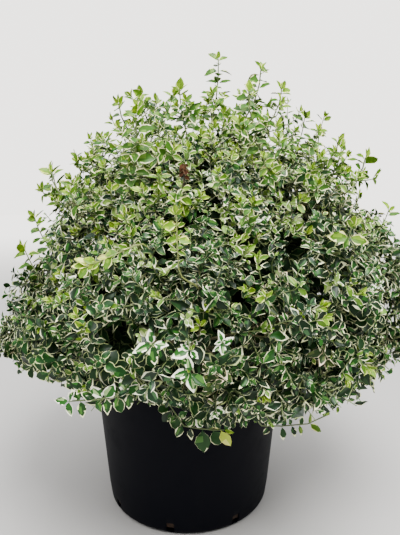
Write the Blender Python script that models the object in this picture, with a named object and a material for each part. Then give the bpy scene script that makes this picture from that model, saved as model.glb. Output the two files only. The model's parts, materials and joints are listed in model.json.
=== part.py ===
"""A potted variegated euonymus: a low mounded shrub in a black nursery pot, with a short stem on the
potting soil, main boughs that fan out from it, and masses of foliage round a hollow, leafless middle."""

import math
import random

import bmesh
import bpy
from mathutils import Matrix, Vector, noise

# Pot, in metres: a round nursery pot of about 15 litres
POT_HEIGHT = 0.260
POT_FOOT_RADIUS = 0.130
POT_RIM_RADIUS = 0.153
POT_CORNER = 0.012
POT_CORNER_STEPS = 3
POT_WALL = 0.0022
POT_FLOOR = 0.0035
LIP_WIDTH = 0.006
LIP_HEIGHT = 0.014
POT_SIDES = 48
HOLE_COUNT = 8
HOLE_WIDTH = 0.012
HOLE_HEIGHT = 0.017
HOLE_BOTTOM = 0.004
FIRST_HOLE = math.radians(-101)

# Potting soil, and the gap that neighbouring pieces keep
SOIL_LEVEL = 0.236
SOIL_EDGE_DROP = 0.006
SOIL_DOME_DROP = 0.001
CLEARANCE = 0.0003

# Stem and boughs
STEM_RADIUS = 0.0135
FLARE_RADIUS = 0.023
FLARE = ((0.12, 0.45), (0.25, 0.12), (0.36, 0.0))
STEM_TOP = 0.300
STEM_EDGE = 0.002
STEM_SIDES = 14
BOUGH_SIDES = 6
BOUGH_STEPS = 6
BOUGH_ROOT = 0.0055
BOUGH_TIP = 0.0034
BOUGH_BEND = 0.45

# Crown: a dome of leaves round its heart, with a skirt that hangs past the pot's rim
HEART = Vector((0.0175, 0.0, 0.325))
CROWN_WIDTH = 0.325
CROWN_RISE = 0.280
CROWN_DROP = 0.132
DOME_POWER = 2.0
SKIRT_POWER = 3.5
SKEW = 0.07
LUMP = 0.13
LUMP_SCALE = 2.6

# The leafless middle that the boughs cross, and the room that foliage leaves to it, the rim and other masses
HOLLOW_WIDTH = 0.125
HOLLOW_RISE = 0.110
HOLLOW_DROP = 0.088
HOLLOW_ROOM = 0.007
RIM_ROOM = 0.004
SEAM = 0.0012

# Each ring of masses: name, how many, degrees over the horizon, first bearing, boughs' height on the stem
RINGS = (
    ("skirt", 6, 2, 30, 0.264),
    ("shoulder", 4, 43, 48, 0.284),
    ("top", 1, 90, 0, STEM_TOP),
)
MASS_DEPTH = 0.70
CORE_REACH = 0.75
CORE_SIZE = 0.125
CORE_ROUGHNESS = 0.26
CORE_ROOM = 0.006
CORE_STEP = 0.002

# Twigs: the first is one that stays inside the dome, the second a young shoot that stands out of it
SEED = 7
TWIG_COUNT = 92
LOWEST_TWIG = math.radians(32)
TWIG_BIAS = 0.86
TWIG_DEPTH = (0.84, 0.94)
TWIG_RADIUS = 0.0021
TWIG_TAPER = 0.6
TWIG_STEPS = 2
TWIG_BEND = 0.45
TWIG_STUB = 0.004
FREE = 9.0
TWIG = {"reach": 1.0, "leaf_reach": 1.07, "pairs": 2, "spacing": 0.030, "leaf_size": 1.0, "sag": 0.18}
SHOOT = {"reach": FREE, "leaf_reach": FREE, "pairs": 3, "spacing": 0.026, "leaf_size": 0.6, "sag": 0.55}

# Tips of the young shoots on the outline, as x and z in the plane of the crown's widest section
LEADERS = (
    (0.047, 0.690), (0.108, 0.667), (0.145, 0.645), (-0.011, 0.638), (-0.071, 0.636),
    (-0.101, 0.619), (0.182, 0.604), (0.231, 0.556), (-0.147, 0.541), (-0.195, 0.520),
    (0.258, 0.496), (0.307, 0.462), (-0.226, 0.453), (-0.247, 0.405),
)
LEADER_STAGGER = 0.02
# Tips of the sprigs that hang in front of the pot's wall
HANGING = ((-0.026, -0.210, 0.203), (0.030, -0.217, 0.189), (0.095, -0.204, 0.205))
# Shoots on the sides away from the outline's plane, by bearing from +X and height over the horizon
OTHER_SHOOTS = 8
OTHER_FIRST = 25
OTHER_SPREAD = 130
OTHER_LOW = 38
OTHER_STEP = 9
OTHER_RISE = 0.055

# Leaves, larger than life so that few of them fill the crown
LEAF_LENGTH = 0.056
LEAF_WIDTH = 0.038
LEAF_WIDEST = 0.44
LEAF_THICKNESS = 0.0012
LEAF_FOLD = 0.0035
LEAF_YOUNG = 0.78
LEAF_GROWTH = 0.14
LEAF_ROOM = 0.42
LEAF_TURN = 0.3
LEAF_SIZES = (1.0, 0.8, 0.62)
LEAF_SHIFTS = (0.0004, -0.0007)
TIP_OPENING = math.radians(48)
PAIR_OPENING = math.radians(72)
LEAF_FACES = [(0, 2, 4), (2, 1, 4), (1, 3, 4), (3, 0, 4), (2, 0, 5), (1, 2, 5), (3, 1, 5), (0, 3, 5)]
QUARTER_TURN = math.pi / 2
GOLDEN_ANGLE = math.pi * (3 - math.sqrt(5))


def clear_scene():
    for old in list(bpy.data.objects):
        bpy.data.objects.remove(old)


def material(name, colour, roughness):
    """A plain finish, with its colour in linear RGB."""
    made = bpy.data.materials.new(name)
    made.use_nodes = True
    shader = made.node_tree.nodes["Principled BSDF"]
    shader.inputs["Base Color"].default_value = (*colour, 1.0)
    shader.inputs["Roughness"].default_value = roughness
    shader.inputs["Metallic"].default_value = 0.0
    made.diffuse_color = (*colour, 1.0)
    return made


def add_object(name, mesh, finish):
    made = bpy.data.objects.new(name, mesh)
    bpy.context.scene.collection.objects.link(made)
    mesh.materials.append(finish)
    return made


def mesh_from(name, points, faces):
    mesh = bpy.data.meshes.new(name)
    mesh.from_pydata(points, [], faces)
    mesh.update()
    return mesh


def rounded(mesh):
    """Smooth shading, with the edges at real corners kept sharp."""
    mesh.shade_smooth()
    mesh.set_sharp_from_angle(angle=math.radians(35))
    return mesh


def turned(name, profile, sides):
    """A solid of revolution about Z, whose profile of (radius, height) starts and ends on the axis."""
    points = [(0.0, 0.0, profile[0][1])]
    for radius, height in profile[1:-1]:
        for side in range(sides):
            turn = 2 * math.pi * side / sides
            points.append((radius * math.cos(turn), radius * math.sin(turn), height))
    points.append((0.0, 0.0, profile[-1][1]))
    last = len(points) - 1
    rings = len(profile) - 2
    faces = []
    for side in range(sides):
        after = (side + 1) % sides
        faces.append((0, 1 + after, 1 + side))
        for ring in range(rings - 1):
            low, high = 1 + ring * sides, 1 + (ring + 1) * sides
            faces.append((low + side, low + after, high + after, high + side))
        final = 1 + (rings - 1) * sides
        faces.append((last, final + side, final + after))
    return rounded(mesh_from(name, points, faces))


def swept(name, path, radii, sides, first):
    """A tapering tube along a path, with flat ends, which starts square to the direction first."""
    points, faces = [], []
    aside = first.orthogonal().normalized()
    for step, centre in enumerate(path):
        if step == 0:
            tangent = first
        elif step == len(path) - 1:
            tangent = (path[-1] - path[-2]).normalized()
        else:
            tangent = (path[step + 1] - path[step - 1]).normalized()
        aside = (aside - tangent * aside.dot(tangent)).normalized()
        across = tangent.cross(aside)
        for side in range(sides):
            turn = 2 * math.pi * side / sides
            points.append(centre + (aside * math.cos(turn) + across * math.sin(turn)) * radii[step])
    for step in range(len(path) - 1):
        low, high = step * sides, (step + 1) * sides
        for side in range(sides):
            after = (side + 1) % sides
            faces.append((low + side, low + after, high + after, high + side))
    faces.append(tuple(reversed(range(sides))))
    faces.append(tuple(range((len(path) - 1) * sides, len(path) * sides)))
    return mesh_from(name, points, faces)


def curve_points(start, bend, end, steps):
    """Points along a smooth bend from start to end, drawn towards the bend point."""
    found = []
    for step in range(steps + 1):
        t = step / steps
        found.append(start * (1 - t) ** 2 + bend * 2 * t * (1 - t) + end * t**2)
    return found


def point_on(path, t):
    """The point at a share t of the way along a path of equal steps."""
    place = min(max(t, 0.0), 1.0) * (len(path) - 1)
    step = min(int(place), len(path) - 2)
    return path[step].lerp(path[step + 1], place - step)


def tapered(first, last, count):
    return [first + (last - first) * step / (count - 1) for step in range(count)]


def bearing_vector(bearing, rise):
    return Vector((math.cos(bearing) * math.cos(rise), math.sin(bearing) * math.cos(rise), math.sin(rise)))


def outer_radius(height):
    return POT_FOOT_RADIUS + (POT_RIM_RADIUS - POT_FOOT_RADIUS) * height / POT_HEIGHT


def inner_radius(height):
    """The radius of the pot's inner wall, above its rounded foot."""
    share = (height - POT_CORNER) / (POT_HEIGHT - POT_CORNER)
    return POT_FOOT_RADIUS - POT_WALL + (POT_RIM_RADIUS - POT_FOOT_RADIUS) * share


def make_pot(finish):
    """The thin tapering wall with its rounded foot, turned-out lip and drain holes."""
    foot = POT_FOOT_RADIUS - POT_CORNER
    outside = [(0.0, 0.0), (foot, 0.0)]
    for step in range(1, POT_CORNER_STEPS + 1):
        turn = QUARTER_TURN * step / POT_CORNER_STEPS
        outside.append((foot + POT_CORNER * math.sin(turn), POT_CORNER * (1 - math.cos(turn))))
    lip = POT_RIM_RADIUS + LIP_WIDTH
    lip_bottom = POT_HEIGHT - LIP_HEIGHT
    outside += [
        (outer_radius(lip_bottom), lip_bottom),
        (lip, lip_bottom + POT_WALL),
        (lip, POT_HEIGHT - POT_WALL),
        (lip - POT_WALL, POT_HEIGHT),
    ]
    inside = [
        (inner_radius(POT_HEIGHT), POT_HEIGHT),
        (inner_radius(POT_CORNER), POT_CORNER),
        (foot, POT_FLOOR),
        (0.0, POT_FLOOR),
    ]
    pot = add_object("pot", turned("pot", outside + inside, POT_SIDES), finish)
    cut = pot.modifiers.new("drain holes", "BOOLEAN")
    cut.operation = "DIFFERENCE"
    cut.object = hole_cutter()


def hole_cutter():
    """Upright slots low in the wall, evenly round the foot."""
    cutters = bmesh.new()
    depth = 2 * POT_CORNER
    for index in range(HOLE_COUNT):
        turned_out = Matrix.Rotation(FIRST_HOLE + 2 * math.pi * index / HOLE_COUNT, 4, "Z")
        place = Matrix.Translation((POT_FOOT_RADIUS, 0, HOLE_BOTTOM + HOLE_HEIGHT / 2))
        shape = Matrix.Diagonal((depth, HOLE_WIDTH, HOLE_HEIGHT, 1))
        bmesh.ops.create_cube(cutters, size=1.0, matrix=turned_out @ place @ shape)
    mesh = bpy.data.meshes.new("drain_cutter")
    cutters.to_mesh(mesh)
    cutters.free()
    cutter = bpy.data.objects.new("drain_cutter", mesh)
    bpy.context.scene.collection.objects.link(cutter)
    cutter.hide_render = True
    cutter.display_type = "WIRE"
    return cutter


def make_soil(finish):
    """The root ball that fills the pot, with a slightly domed top and a flat seat for the stem."""
    room = 2 * CLEARANCE
    edge = SOIL_LEVEL - SOIL_EDGE_DROP
    shoulder = (inner_radius(edge) + FLARE_RADIUS) / 2
    profile = [
        (0.0, POT_FLOOR + CLEARANCE),
        (POT_FOOT_RADIUS - POT_CORNER - room, POT_FLOOR + CLEARANCE),
        (inner_radius(POT_CORNER) - room, POT_CORNER),
        (inner_radius(edge) - room, edge),
        (shoulder, SOIL_LEVEL - SOIL_DOME_DROP),
        (FLARE_RADIUS * 1.4, SOIL_LEVEL),
        (0.0, SOIL_LEVEL),
    ]
    add_object("potting_soil", turned("potting_soil", profile, POT_SIDES), finish)


def make_stem(finish):
    """The short woody stem, flared where it meets the soil."""
    foot = SOIL_LEVEL + CLEARANCE
    profile = [(0.0, foot), (FLARE_RADIUS, foot)]
    for share, spread in FLARE:
        height = foot + (STEM_TOP - foot) * share
        profile.append((STEM_RADIUS + (FLARE_RADIUS - STEM_RADIUS) * spread, height))
    profile += [(STEM_RADIUS, STEM_TOP - STEM_EDGE), (STEM_RADIUS - STEM_EDGE, STEM_TOP), (0.0, STEM_TOP)]
    add_object("main_stem", turned("main_stem", profile, STEM_SIDES), finish)


def crown_surface(direction):
    """How far the leafy outline is from the crown's heart along a unit direction."""
    height, power = (CROWN_RISE, DOME_POWER) if direction.z > 0 else (CROWN_DROP, SKIRT_POWER)
    across = math.hypot(direction.x, direction.y)
    plain = ((across / CROWN_WIDTH) ** power + (abs(direction.z) / height) ** power) ** (-1 / power)
    skew = 1 + 2 * SKEW * direction.x * max(direction.z, 0)
    return plain * skew * (1 + LUMP * noise.noise(direction * LUMP_SCALE))


def hollow_surface(direction):
    """How far the leafless middle reaches from the crown's heart along a unit direction."""
    height = HOLLOW_RISE if direction.z > 0 else HOLLOW_DROP
    across = (direction.x**2 + direction.y**2) / HOLLOW_WIDTH**2
    return 1 / math.sqrt(across + (direction.z / height) ** 2)


def crown_masses():
    """Each mass's name, its middle, its outward direction and where its bough leaves the stem."""
    masses = []
    for ring, count, rise, first, root_height in RINGS:
        for index in range(count):
            bearing = math.radians(first + 360 * index / count)
            outward = bearing_vector(bearing, math.radians(rise))
            mass = {
                "name": f"{ring}_{index + 1}" if count > 1 else ring,
                "outward": outward,
                "bearing": bearing,
                "middle": HEART + outward * crown_surface(outward) * MASS_DEPTH,
                "root_height": root_height,
            }
            masses.append(mass)
    return masses


def clear_of_pot(point):
    """True over the rim, or outside the lip with room to spare."""
    across = math.hypot(point.x, point.y)
    return point.z > POT_HEIGHT + RIM_ROOM or across > POT_RIM_RADIUS + LIP_WIDTH + 2 * RIM_ROOM


def in_space(point, mass, masses, reach):
    """True in the mass's own space: nearer its middle than any other, clear of the hollow and the pot."""
    offset = point - HEART
    direction = offset.normalized()
    inner = hollow_surface(direction) + HOLLOW_ROOM
    if not inner < offset.length < reach * crown_surface(direction) or not clear_of_pot(point):
        return False
    own = mass["middle"]
    for other in masses:
        if other is mass:
            continue
        between = other["middle"] - own
        halfway = (own + other["middle"]) / 2
        if (point - halfway).dot(between) / between.length > -SEAM:
            return False
    return True


def bough_path(mass):
    """A smooth path from the stem's side or top to the hollow's edge, and the direction it starts in."""
    outward = mass["outward"]
    tip = HEART + outward * hollow_surface(outward)
    if mass["root_height"] == STEM_TOP:
        first = Vector((0, 0, 1))
        root = Vector((0, 0, STEM_TOP + CLEARANCE))
    else:
        first = bearing_vector(mass["bearing"], 0)
        root = first * (STEM_RADIUS + CLEARANCE) + Vector((0, 0, mass["root_height"]))
    bend = root + first * (tip - root).length * BOUGH_BEND
    return curve_points(root, bend, tip, BOUGH_STEPS), first


def make_core(mass, masses, rng):
    """The dense heart of a mass: a craggy ball that stays well inside the mass's own space."""
    ball = bmesh.new()
    bmesh.ops.create_icosphere(ball, subdivisions=2, radius=1.0)
    middle = mass["middle"]
    for vertex in ball.verts:
        direction = vertex.co.normalized()
        reach = CORE_STEP
        while reach < CORE_SIZE:
            ahead = middle + direction * (reach + CORE_ROOM)
            if not in_space(ahead, mass, masses, CORE_REACH):
                break
            reach += CORE_STEP
        vertex.co = middle + direction * reach * rng.uniform(1 - CORE_ROUGHNESS, 1)
    mesh = bpy.data.meshes.new(mass["name"] + "_core")
    ball.to_mesh(mesh)
    ball.free()
    return mesh


def twig_ends():
    """Where each twig ends and its kind: all over the dome by the golden angle, and the shoots out of it."""
    rng = random.Random(SEED)
    ends = []
    for index in range(TWIG_COUNT):
        share = ((index + 0.5) / TWIG_COUNT) ** TWIG_BIAS
        rise = 1 - share * (1 + math.sin(LOWEST_TWIG))
        direction = bearing_vector(index * GOLDEN_ANGLE, math.asin(rise))
        ends.append((HEART + direction * crown_surface(direction) * rng.uniform(*TWIG_DEPTH), TWIG))
    for index, (x, z) in enumerate(LEADERS):
        ends.append((Vector((x, LEADER_STAGGER * (-1) ** index, z)), SHOOT))
    ends += [(Vector(tip), SHOOT) for tip in HANGING]
    for index in range(OTHER_SHOOTS):
        bearing = math.radians(OTHER_FIRST + OTHER_SPREAD * (index // 2) / (OTHER_SHOOTS / 2 - 1))
        rise = math.radians(OTHER_LOW + OTHER_STEP * (index % 3))
        direction = bearing_vector(bearing if index % 2 else -bearing, rise)
        ends.append((HEART + direction * crown_surface(direction) + Vector((0, 0, OTHER_RISE)), SHOOT))
    return ends


def nearest_mass(point, masses):
    return min(masses, key=lambda mass: (point - mass["middle"]).length)


def grow_mass(mass, masses, ends, bough, rng):
    """A mass's pieces: its stem on from the bough's tip, its twigs, and their pairs of leaves."""
    middle = mass["middle"]
    onward = (bough[-1] - bough[-2]).normalized()
    root = bough[-1] + onward * CLEARANCE
    stem = [root, root.lerp(middle, 0.2) + onward * CLEARANCE, middle]
    pieces = [swept("stem", stem, [BOUGH_TIP] * len(stem), BOUGH_SIDES, onward)]
    centres = []
    for end, kind in ends:
        span = end - middle
        bend = end - (span + Vector((0, 0, kind["sag"] * span.length))) * TWIG_BEND
        path = curve_points(middle, bend, end, TWIG_STEPS)
        if all(in_space(point, mass, masses, kind["reach"]) for point in path[1:]):
            radii = tapered(TWIG_RADIUS, TWIG_RADIUS * TWIG_TAPER, len(path))
            pieces.append(swept("twig", path, radii, 3, (path[1] - path[0]).normalized()))
            pieces += grow_leaves(path, kind, centres, mass, masses, rng)
    return pieces


def grow_leaves(path, kind, centres, mass, masses, rng):
    """Opposite leaves, each pair a quarter turn from the last, at a twig's tip and back along it."""
    leaves = []
    length = (path[-1] - path[0]).length
    turn = rng.uniform(0, math.pi)
    for pair in range(kind["pairs"]):
        t = 1 - (TWIG_STUB + pair * kind["spacing"]) / length
        here = point_on(path, t)
        tangent = (here - point_on(path, t - TWIG_STUB / length)).normalized()
        size = LEAF_LENGTH * kind["leaf_size"] * (LEAF_YOUNG + LEAF_GROWTH * pair) * rng.uniform(0.9, 1.08)
        aside = Matrix.Rotation(turn + pair * QUARTER_TURN, 3, tangent) @ tangent.orthogonal().normalized()
        opening = PAIR_OPENING if pair else TIP_OPENING
        for side, shift in zip((aside, -aside), LEAF_SHIFTS):
            along = tangent * math.cos(opening) + side * math.sin(opening)
            normal = (tangent - along * tangent.dot(along)).normalized()
            normal = Matrix.Rotation(rng.uniform(-LEAF_TURN, LEAF_TURN), 3, along) @ normal
            root = here + tangent * shift - along * TWIG_RADIUS * 0.2
            for share in LEAF_SIZES:
                corners = leaf_corners(root, along, normal, size * share)
                centre = (corners[0] + corners[1]) / 2
                crowded = any((centre - other).length < LEAF_ROOM * size * share for other in centres)
                inside = all(in_space(corner, mass, masses, kind["leaf_reach"]) for corner in corners)
                if inside and not crowded:
                    leaves.append(mesh_from("leaf", corners, LEAF_FACES))
                    centres.append(centre)
                    break
    return leaves


def leaf_corners(root, along, normal, length):
    """A leaf's root, tip, two sides, and the upper and lower middle of its midrib."""
    share = length / LEAF_LENGTH
    across = along.cross(normal).normalized() * LEAF_WIDTH * share / 2
    widest = root + along * length * LEAF_WIDEST
    lift = normal * LEAF_FOLD * share
    thick = normal * LEAF_THICKNESS * share
    sides = [widest + across + lift, widest - across + lift]
    return [root, root + along * length, *sides, widest + thick, widest - thick]


def fuse(name, core, pieces, finish):
    """One closed solid: the core with every piece joined on by one Boolean union."""
    base = add_object(name, core, finish)
    group = bpy.data.collections.new(name + "_pieces")
    bpy.context.scene.collection.children.link(group)
    for index, mesh in enumerate(pieces):
        group.objects.link(bpy.data.objects.new(f"{name}_piece_{index}", mesh))
    union = base.modifiers.new("join", "BOOLEAN")
    union.operand_type = "COLLECTION"
    union.operation = "UNION"
    union.solver = "MANIFOLD"
    union.collection = group
    graph = bpy.context.evaluated_depsgraph_get()
    joined = bpy.data.meshes.new_from_object(base.evaluated_get(graph))
    base.modifiers.clear()
    base.data = joined
    for piece in list(group.objects):
        bpy.data.objects.remove(piece)
    bpy.data.collections.remove(group)
    keep_largest_shell(joined)


def keep_largest_shell(mesh):
    """Drops the walls of any sealed hollow, and any loose scrap."""
    work = bmesh.new()
    work.from_mesh(mesh)
    unseen = set(work.verts)
    shells = []
    while unseen:
        shell = set()
        todo = [unseen.pop()]
        while todo:
            vertex = todo.pop()
            shell.add(vertex)
            for edge in vertex.link_edges:
                other = edge.other_vert(vertex)
                if other in unseen:
                    unseen.discard(other)
                    todo.append(other)
        shells.append(shell)
    shells.sort(key=len)
    for shell in shells[:-1]:
        bmesh.ops.delete(work, geom=list(shell), context="VERTS")
    work.to_mesh(mesh)
    work.free()


def make_crown(bark, foliage):
    """A bough and a fused mass of foliage for each place round the crown."""
    masses = crown_masses()
    ends = twig_ends()
    for number, mass in enumerate(masses):
        path, first = bough_path(mass)
        radii = tapered(BOUGH_ROOT, BOUGH_TIP, len(path))
        bough_name = mass["name"] + "_bough"
        add_object(bough_name, rounded(swept(bough_name, path, radii, BOUGH_SIDES, first)), bark)
        rng = random.Random(SEED + number)
        own = [(end, kind) for end, kind in ends if nearest_mass(end, masses) is mass]
        core = make_core(mass, masses, rng)
        fuse(mass["name"] + "_foliage", core, grow_mass(mass, masses, own, path, rng), foliage)


clear_scene()
make_pot(material("black_plastic", (0.012, 0.013, 0.015), 0.45))
make_soil(material("potting_soil", (0.030, 0.019, 0.012), 0.95))
stem_bark = material("bark", (0.13, 0.10, 0.065), 0.85)
make_stem(stem_bark)
make_crown(stem_bark, material("variegated_leaves", (0.13, 0.22, 0.07), 0.45))
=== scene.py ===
import json
import math
import random

import bmesh
import bpy
from mathutils import Euler, Matrix, Vector, noise
from mathutils.kdtree import KDTree

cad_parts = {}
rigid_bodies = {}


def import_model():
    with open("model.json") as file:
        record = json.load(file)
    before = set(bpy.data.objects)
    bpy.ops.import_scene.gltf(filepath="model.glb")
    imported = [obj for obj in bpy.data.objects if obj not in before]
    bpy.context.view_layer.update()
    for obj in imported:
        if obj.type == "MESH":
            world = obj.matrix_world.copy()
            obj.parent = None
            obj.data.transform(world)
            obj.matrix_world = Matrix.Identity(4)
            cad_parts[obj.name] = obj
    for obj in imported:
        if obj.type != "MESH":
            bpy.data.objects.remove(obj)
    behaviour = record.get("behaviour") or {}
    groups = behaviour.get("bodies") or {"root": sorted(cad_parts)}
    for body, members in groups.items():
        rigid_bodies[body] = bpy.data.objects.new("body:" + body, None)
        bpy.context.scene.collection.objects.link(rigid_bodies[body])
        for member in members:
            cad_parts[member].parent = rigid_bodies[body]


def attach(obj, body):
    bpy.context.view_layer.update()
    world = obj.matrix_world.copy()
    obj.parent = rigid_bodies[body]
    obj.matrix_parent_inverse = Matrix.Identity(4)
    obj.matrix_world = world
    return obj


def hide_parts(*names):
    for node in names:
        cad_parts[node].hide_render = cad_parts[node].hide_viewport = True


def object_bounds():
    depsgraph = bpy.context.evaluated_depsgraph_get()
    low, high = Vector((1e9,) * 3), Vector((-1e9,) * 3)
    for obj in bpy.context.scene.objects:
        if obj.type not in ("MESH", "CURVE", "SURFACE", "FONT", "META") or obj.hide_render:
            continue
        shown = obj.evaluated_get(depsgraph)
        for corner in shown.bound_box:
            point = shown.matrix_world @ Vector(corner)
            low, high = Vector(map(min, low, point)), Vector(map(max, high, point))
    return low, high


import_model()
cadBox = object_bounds()
scene = bpy.context.scene
goldenAngle = math.pi * (3 - math.sqrt(5))
upward = Vector((0, 0, 1))
# attributes that the node trees use up
helperNames = ("girth", "coat", "turn", "size", "shape", "shade", "zone")
socketKinds = {int: "NodeSocketInt", float: "NodeSocketFloat", type(None): "NodeSocketCollection"}


class Wire:
    # a node's output that takes part in plain sums
    def __init__(self, tree, socket):
        self.tree, self.socket = tree, socket

    def combine(self, operation, first, second):
        return self.tree.add("ShaderNodeMath", {0: first, 1: second}, operation=operation)

    def __add__(self, other):
        return self.combine("ADD", self, other)

    def __radd__(self, other):
        return self.combine("ADD", other, self)

    def __sub__(self, other):
        return self.combine("SUBTRACT", self, other)

    def __rsub__(self, other):
        return self.combine("SUBTRACT", other, self)

    def __mul__(self, other):
        return self.combine("MULTIPLY", self, other)

    def __rmul__(self, other):
        return self.combine("MULTIPLY", other, self)

    def above(self, level):
        return self.combine("GREATER_THAN", self, level)


class Tree:
    # adds nodes: the settings are made first, then the values or wires of the sockets
    def __init__(self, nodeTree):
        self.tree = nodeTree

    def add(self, kind, values=None, output=0, **settings):
        node = self.tree.nodes.new(kind)
        for name, value in settings.items():
            if name == "stops":
                self.setStops(node.color_ramp.elements, value)
            else:
                setattr(node, name, value)
        for key, value in (values or {}).items():
            self.feed(node.inputs[key], value)
        return Wire(self, node.outputs[output])

    def feed(self, socket, value):
        if isinstance(value, Wire):
            self.tree.links.new(value.socket, socket)
        else:
            socket.default_value = value

    def setStops(self, elements, stops):
        while len(elements) < len(stops):
            elements.new(0.5)
        for element, (place, colour) in zip(elements, stops):
            element.position, element.color = place, linear(*colour)

    def place(self):
        return self.add("ShaderNodeTexCoord", output="Object")

    def heightOf(self, place):
        return self.add("ShaderNodeSeparateXYZ", {0: place}, 2)

    def between(self, wire, low, high):
        # 0 below low, 1 above high, smooth in between
        values = {0: wire, 1: low, 2: high}
        return self.add("ShaderNodeMapRange", values, interpolation_type="SMOOTHSTEP")

    def blend(self, share, first, second):
        return self.add("ShaderNodeMix", {0: share, 6: first, 7: second}, 2, data_type="RGBA")

    def cloud(self, place, scale, detail=3.0, roughness=0.55):
        # a scale of three numbers stretches the pattern
        if isinstance(scale, tuple):
            place, scale = self.add("ShaderNodeMapping", {0: place, 3: scale}), 1.0
        values = {"Vector": place, "Scale": scale, "Detail": detail, "Roughness": roughness}
        return self.add("ShaderNodeTexNoise", values)

    def blots(self, place, scale, detail, roughness, low, high):
        # a cloud pattern drawn together to patches
        return self.between(self.cloud(place, scale, detail, roughness), low, high)

    def tones(self, share, stops):
        return self.add("ShaderNodeValToRGB", {0: share}, stops=stops)

    def named(self, name, kind):
        return self.add("GeometryNodeInputNamedAttribute", {0: name}, data_type=kind)

    def chance(self, low, high, seed):
        values = {2: low, 3: high, "Seed": seed}
        return self.add("FunctionNodeRandomValue", values, 1, data_type="FLOAT")

    def chanceTurn(self, low, high, seed):
        values = {0: low, 1: high, "Seed": seed}
        angles = self.add("FunctionNodeRandomValue", values, data_type="FLOAT_VECTOR")
        return self.add("FunctionNodeEulerToRotation", {0: angles})

    def strew(self, points, shelf, turn, scale, pick=None):
        # a piece from the shelf on every point, made real
        shapes = self.add("GeometryNodeCollectionInfo", {0: shelf, 1: True, 2: True})
        values = {"Points": points, "Instance": shapes, "Pick Instance": True,
                  "Rotation": turn, "Scale": scale}
        if pick:
            values["Instance Index"] = pick
        return self.add("GeometryNodeRealizeInstances", {
            0: self.add("GeometryNodeInstanceOnPoints", values)})

    def wear(self, body, finish):
        return self.add("GeometryNodeSetMaterial", {0: body, "Material": finish})

    def wearEach(self, body, key, finishes):
        # gives each finish to the faces whose key is its number
        for number, finish in enumerate(finishes):
            same = self.add("FunctionNodeCompare", {0: key, 1: float(number), 12: 0.1},
                            data_type="FLOAT", operation="EQUAL")
            values = {0: body, "Selection": same, "Material": finish}
            body = self.add("GeometryNodeSetMaterial", values)
        return body


def linear(red, green, blue):
    # a colour as a screen shows it, 0 to 255, in Blender's own linear numbers
    shares = [value / 255 for value in (red, green, blue)]
    curved = [s / 12.92 if s <= 0.04045 else ((s + 0.055) / 1.055) ** 2.4 for s in shares]
    return (*curved, 1.0)


def newFinish(name, values):
    # a material, its tree and its main shader, with the values that are the same all over
    finish = bpy.data.materials.new(name)
    finish.use_nodes = True
    shader = finish.node_tree.nodes["Principled BSDF"]
    for key, value in values.items():
        shader.inputs[key].default_value = value
    return finish, Tree(finish.node_tree), shader


def dress(tree, shader, colour, roughness, relief, strength, depth):
    # what changes over a surface
    values = {"Height": relief, "Strength": strength, "Distance": depth}
    bump = tree.add("ShaderNodeBump", values)
    for key, wire in (("Base Color", colour), ("Roughness", roughness), ("Normal", bump)):
        tree.feed(shader.inputs[key], wire)


def finishPiece(piece, slot, *nodes):
    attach(piece, "root")
    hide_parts(*nodes)


def newPiece(name, mesh):
    piece = bpy.data.objects.new(name, mesh)
    scene.collection.objects.link(piece)
    return piece


def meshOf(work, name):
    mesh = bpy.data.meshes.new(name)
    work.to_mesh(mesh)
    work.free()
    return mesh


def store(mesh, name, kind, values, domain="POINT"):
    # a named attribute with a value for every point or face
    label = "vector" if kind == "FLOAT_VECTOR" else "value"
    mesh.attributes.new(name, kind, domain).data.foreach_set(label, values)


def applied(piece):
    # the piece's mesh with its modifiers worked in
    graph = bpy.context.evaluated_depsgraph_get()
    mesh = bpy.data.meshes.new_from_object(piece.evaluated_get(graph))
    piece.modifiers.clear()
    piece.data = mesh
    return mesh


def newNodesTree(name, inputs):
    # an empty Geometry Nodes tree with named inputs and their first values
    tree = bpy.data.node_groups.new(name, "GeometryNodeTree")
    for way in ("INPUT", "OUTPUT"):
        tree.interface.new_socket("Geometry", in_out=way, socket_type="NodeSocketGeometry")
    for label, value in inputs.items():
        kind = socketKinds[type(value)]
        socket = tree.interface.new_socket(label, in_out="INPUT", socket_type=kind)
        if value is not None:
            socket.default_value = value
    maker = Tree(tree)
    source = tree.nodes.new("NodeGroupInput")
    wires = {label: Wire(maker, source.outputs[label]) for label in ("Geometry", *inputs)}
    return tree, maker, wires


def endTree(tree, wire):
    tree.links.new(wire.socket, tree.nodes.new("NodeGroupOutput").inputs[0])
    return tree


def grown(name, mesh, tree, values):
    # runs a mesh through a tree and keeps the plain result
    piece = newPiece(name, mesh)
    modifier = piece.modifiers.new("grow", "NODES")
    modifier.node_group = tree
    for item in tree.interface.items_tree:
        if item.in_out == "INPUT" and item.name in values:
            modifier[item.identifier] = values[item.name]
    made = applied(piece)
    for label in helperNames:
        if label in made.attributes:
            made.attributes.remove(made.attributes[label])
    keepUsedSlots(made)
    return piece


def keepUsedSlots(mesh):
    # drops the material slots that no face wears
    worn = [0] * len(mesh.polygons)
    mesh.polygons.foreach_get("material_index", worn)
    used = sorted(set(worn))
    kept = [mesh.materials[index] for index in used]
    places = {index: place for place, index in enumerate(used)}
    mesh.materials.clear()
    for finish in kept:
        mesh.materials.append(finish)
    mesh.polygons.foreach_set("material_index", [places[index] for index in worn])
    mesh.update()


def bearingVector(bearing, rise):
    flat = math.cos(rise)
    return Vector((math.cos(bearing) * flat, math.sin(bearing) * flat, math.sin(rise)))


def mixed(first, last, share):
    return first + (last - first) * share


def clamped(value):
    return min(max(value, 0.0), 1.0)


def ramp(value, start, span):
    # 0 up to the start, 1 from a span further on
    return clamped((value - start) / span)


def either(rng, amount):
    # a random amount either way
    return rng.uniform(-amount, amount)


# the pot

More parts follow.
